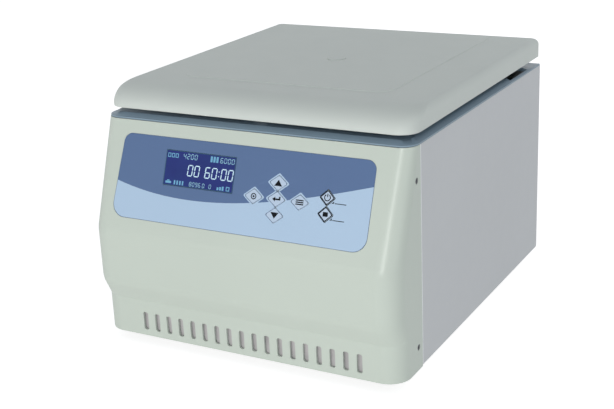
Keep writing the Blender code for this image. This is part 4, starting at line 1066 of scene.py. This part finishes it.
# Every other node: its material, the width of its edge rounds, and the nodes that share them
finishes = (
    (display_window_material(), 0.00015, ["display_window"]),
    (key_film, 0.00015, [f"key_{name}" for name in key_places()]),
    (panel_paint, 0.0003, ["rear_panel"]),
    (lid_plastic_lit_tint, 0.0002, ["port_window"]),
    (dark_steel, 0.0001, [f"cover_screw_{place}" for place in screw_places]),
    (dark_steel, 0.0, ["fan_guard"]),
    (steel, 0.0002, ["hinge_bracket_left", "hinge_bracket_right", "lid_hinge_left", "lid_hinge_right"]),
    (steel, 0.0002, ["hinge_rod", "latch_striker", "latch_hook"]),
    (steel, 0.0002, ["drive_shaft", "bearing_lower", "bearing_upper"]),
    (zinc, 0.0002, ["base_pan", "latch_housing"]),
    (liner_steel, 0.0002, ["lid_liner"]),
    (bowl_steel, 0.0003, ["chamber_bowl"]),
    (rubber, 0.0, ["chamber_gasket"]),
    (rubber, 0.0002, ["shaft_boot"]),
    (rubber, 0.0005, ["motor_mount_1", "motor_mount_2", "motor_mount_3"]),
    (rubber, 0.0005, ["foot_front_left", "foot_front_right", "foot_rear_left", "foot_rear_right"]),
    (alloy, 0.0003, ["rotor_yoke", "bucket_1", "bucket_2", "bucket_3", "bucket_4"]),
    (cast_alloy, 0.0005, ["motor_body"]),
    (cast_alloy, 0.0003, ["motor_drive"]),
    (black_plastic, 0.0003, ["display_module", "rotor_nut", "fan_frame", "cooling_fan"]),
    (black_plastic, 0.0003, ["power_inlet", "power_rocker"]),
    (board_green, 0.0001, ["control_board"]),
    (varnished, 0.0005, ["transformer"]),
)
for material, edges, names in finishes:
    for name in names:
        polish(name, material, edges)


# The studio
world_strength = 0.425
key_power = 19.6
strip_power = 14.0
side_power = 3.0
rear_power = 22.0
floor_seen = 0.82
floor_bounce = 0.40
floor_shade = 0.50
floor_reach = 6.0
sky_colour = (0.90, 0.95, 1.0, 1.0)
studio_aim = (0.0, 0.0, 0.16)


def make_floor():
    """A pale lit floor that looks near white, gives light back and keeps the object's shadow."""
    shape = bmesh.new()
    bmesh.ops.create_grid(shape, x_segments=8, y_segments=8, size=floor_reach)
    floor = from_bmesh("floor", shape)
    kind = bpy.data.materials.new("floor")
    kind.use_nodes = True
    tree = kind.node_tree
    tree.nodes.clear()
    out = tree.nodes.new("ShaderNodeOutputMaterial")
    both = tree.nodes.new("ShaderNodeAddShader")
    diffuse = tree.nodes.new("ShaderNodeBsdfDiffuse")
    glow = tree.nodes.new("ShaderNodeEmission")
    path = tree.nodes.new("ShaderNodeLightPath")
    scaled = tree.nodes.new("ShaderNodeMapRange")
    scaled.inputs["To Min"].default_value = floor_bounce
    scaled.inputs["To Max"].default_value = floor_seen
    diffuse.inputs["Color"].default_value = (floor_shade, floor_shade, floor_shade, 1.0)
    tree.links.new(path.outputs["Is Camera Ray"], scaled.inputs["Value"])
    tree.links.new(scaled.outputs[0], glow.inputs["Strength"])
    tree.links.new(diffuse.outputs[0], both.inputs[0])
    tree.links.new(glow.outputs[0], both.inputs[1])
    tree.links.new(both.outputs[0], out.inputs["Surface"])
    floor.data.materials.append(kind)


def make_world():
    """A pale sky that lights the part, and plain white where it is seen or mirrored."""
    world = bpy.data.worlds.new("studio")
    bpy.context.scene.world = world
    world.use_nodes = True
    tree = world.node_tree
    tree.nodes.clear()
    out = tree.nodes.new("ShaderNodeOutputWorld")
    mix = tree.nodes.new("ShaderNodeMixShader")
    light = tree.nodes.new("ShaderNodeBackground")
    light.inputs["Color"].default_value = sky_colour
    light.inputs["Strength"].default_value = world_strength
    seen = tree.nodes.new("ShaderNodeBackground")
    seen.inputs["Color"].default_value = (1.0, 1.0, 1.0, 1.0)
    seen.inputs["Strength"].default_value = 1.0
    path = tree.nodes.new("ShaderNodeLightPath")
    chosen = path.outputs["Is Camera Ray"]
    for kind in ("Is Glossy Ray", "Is Transmission Ray"):
        either = tree.nodes.new("ShaderNodeMath")
        either.operation = "MAXIMUM"
        tree.links.new(chosen, either.inputs[0])
        tree.links.new(path.outputs[kind], either.inputs[1])
        chosen = either.outputs[0]
    tree.links.new(chosen, mix.inputs["Fac"])
    tree.links.new(light.outputs[0], mix.inputs[1])
    tree.links.new(seen.outputs[0], mix.inputs[2])
    tree.links.new(mix.outputs[0], out.inputs["Surface"])


def make_lamp(name, power, place, size, colour, mirrored=True):
    """A soft lamp aimed at the part. One that isn't mirrored leaves no glare on glossy faces."""
    lamp = bpy.data.lights.new(name, "AREA")
    lamp.shape = "RECTANGLE"
    lamp.size, lamp.size_y = size
    lamp.energy = power
    lamp.color = colour
    thing = bpy.data.objects.new(name, lamp)
    bpy.context.scene.collection.objects.link(thing)
    thing.location = place
    towards = Vector(studio_aim) - Vector(place)
    thing.rotation_euler = towards.to_track_quat("-Z", "Y").to_euler()
    thing.visible_glossy = mirrored


camera_yaw = math.radians(29.290)
camera_pitch = math.radians(18.967)
camera_roll = math.radians(-2.558)
camera_place = (0.7388, -1.3794, 0.6752)
focal_pixels = 1198.9
image_width = 614
sensor_width = 36.0


def make_camera():
    """The photograph's view, found by fitting the case's edges."""
    ahead = Vector((-math.sin(camera_yaw) * math.cos(camera_pitch),
                    math.cos(camera_yaw) * math.cos(camera_pitch), -math.sin(camera_pitch)))
    right = Vector((math.cos(camera_yaw), math.sin(camera_yaw), 0.0))
    up = right.cross(ahead)
    across = right * math.cos(camera_roll) + up * math.sin(camera_roll)
    upward = up * math.cos(camera_roll) - right * math.sin(camera_roll)
    camera = bpy.data.cameras.new("camera")
    camera.sensor_width = sensor_width
    camera.lens = focal_pixels * sensor_width / image_width
    camera.clip_end = 50.0
    thing = bpy.data.objects.new("camera", camera)
    bpy.context.scene.collection.objects.link(thing)
    turn = Matrix((across, upward, -ahead)).transposed().to_4x4()
    thing.matrix_world = Matrix.Translation(camera_place) @ turn
    bpy.context.scene.camera = thing


make_floor()
make_world()
make_lamp("key", key_power, (-0.85, -2.65, 0.24), size=(1.4, 1.2), colour=(1.0, 0.99, 0.93), mirrored=False)
make_lamp("strip", strip_power, (0.85, -2.3, 0.75), size=(0.12, 1.5), colour=(1.0, 1.0, 0.97))
make_lamp("side", side_power, (2.4, -0.9, 0.25), size=(1.4, 1.4), colour=(0.92, 0.96, 1.0))
make_lamp("rear", rear_power, (0.5, 2.9, 1.0), size=(1.6, 1.2), colour=(0.97, 0.98, 1.0), mirrored=False)
make_camera()
bpy.context.scene.view_settings.view_transform = "Standard"
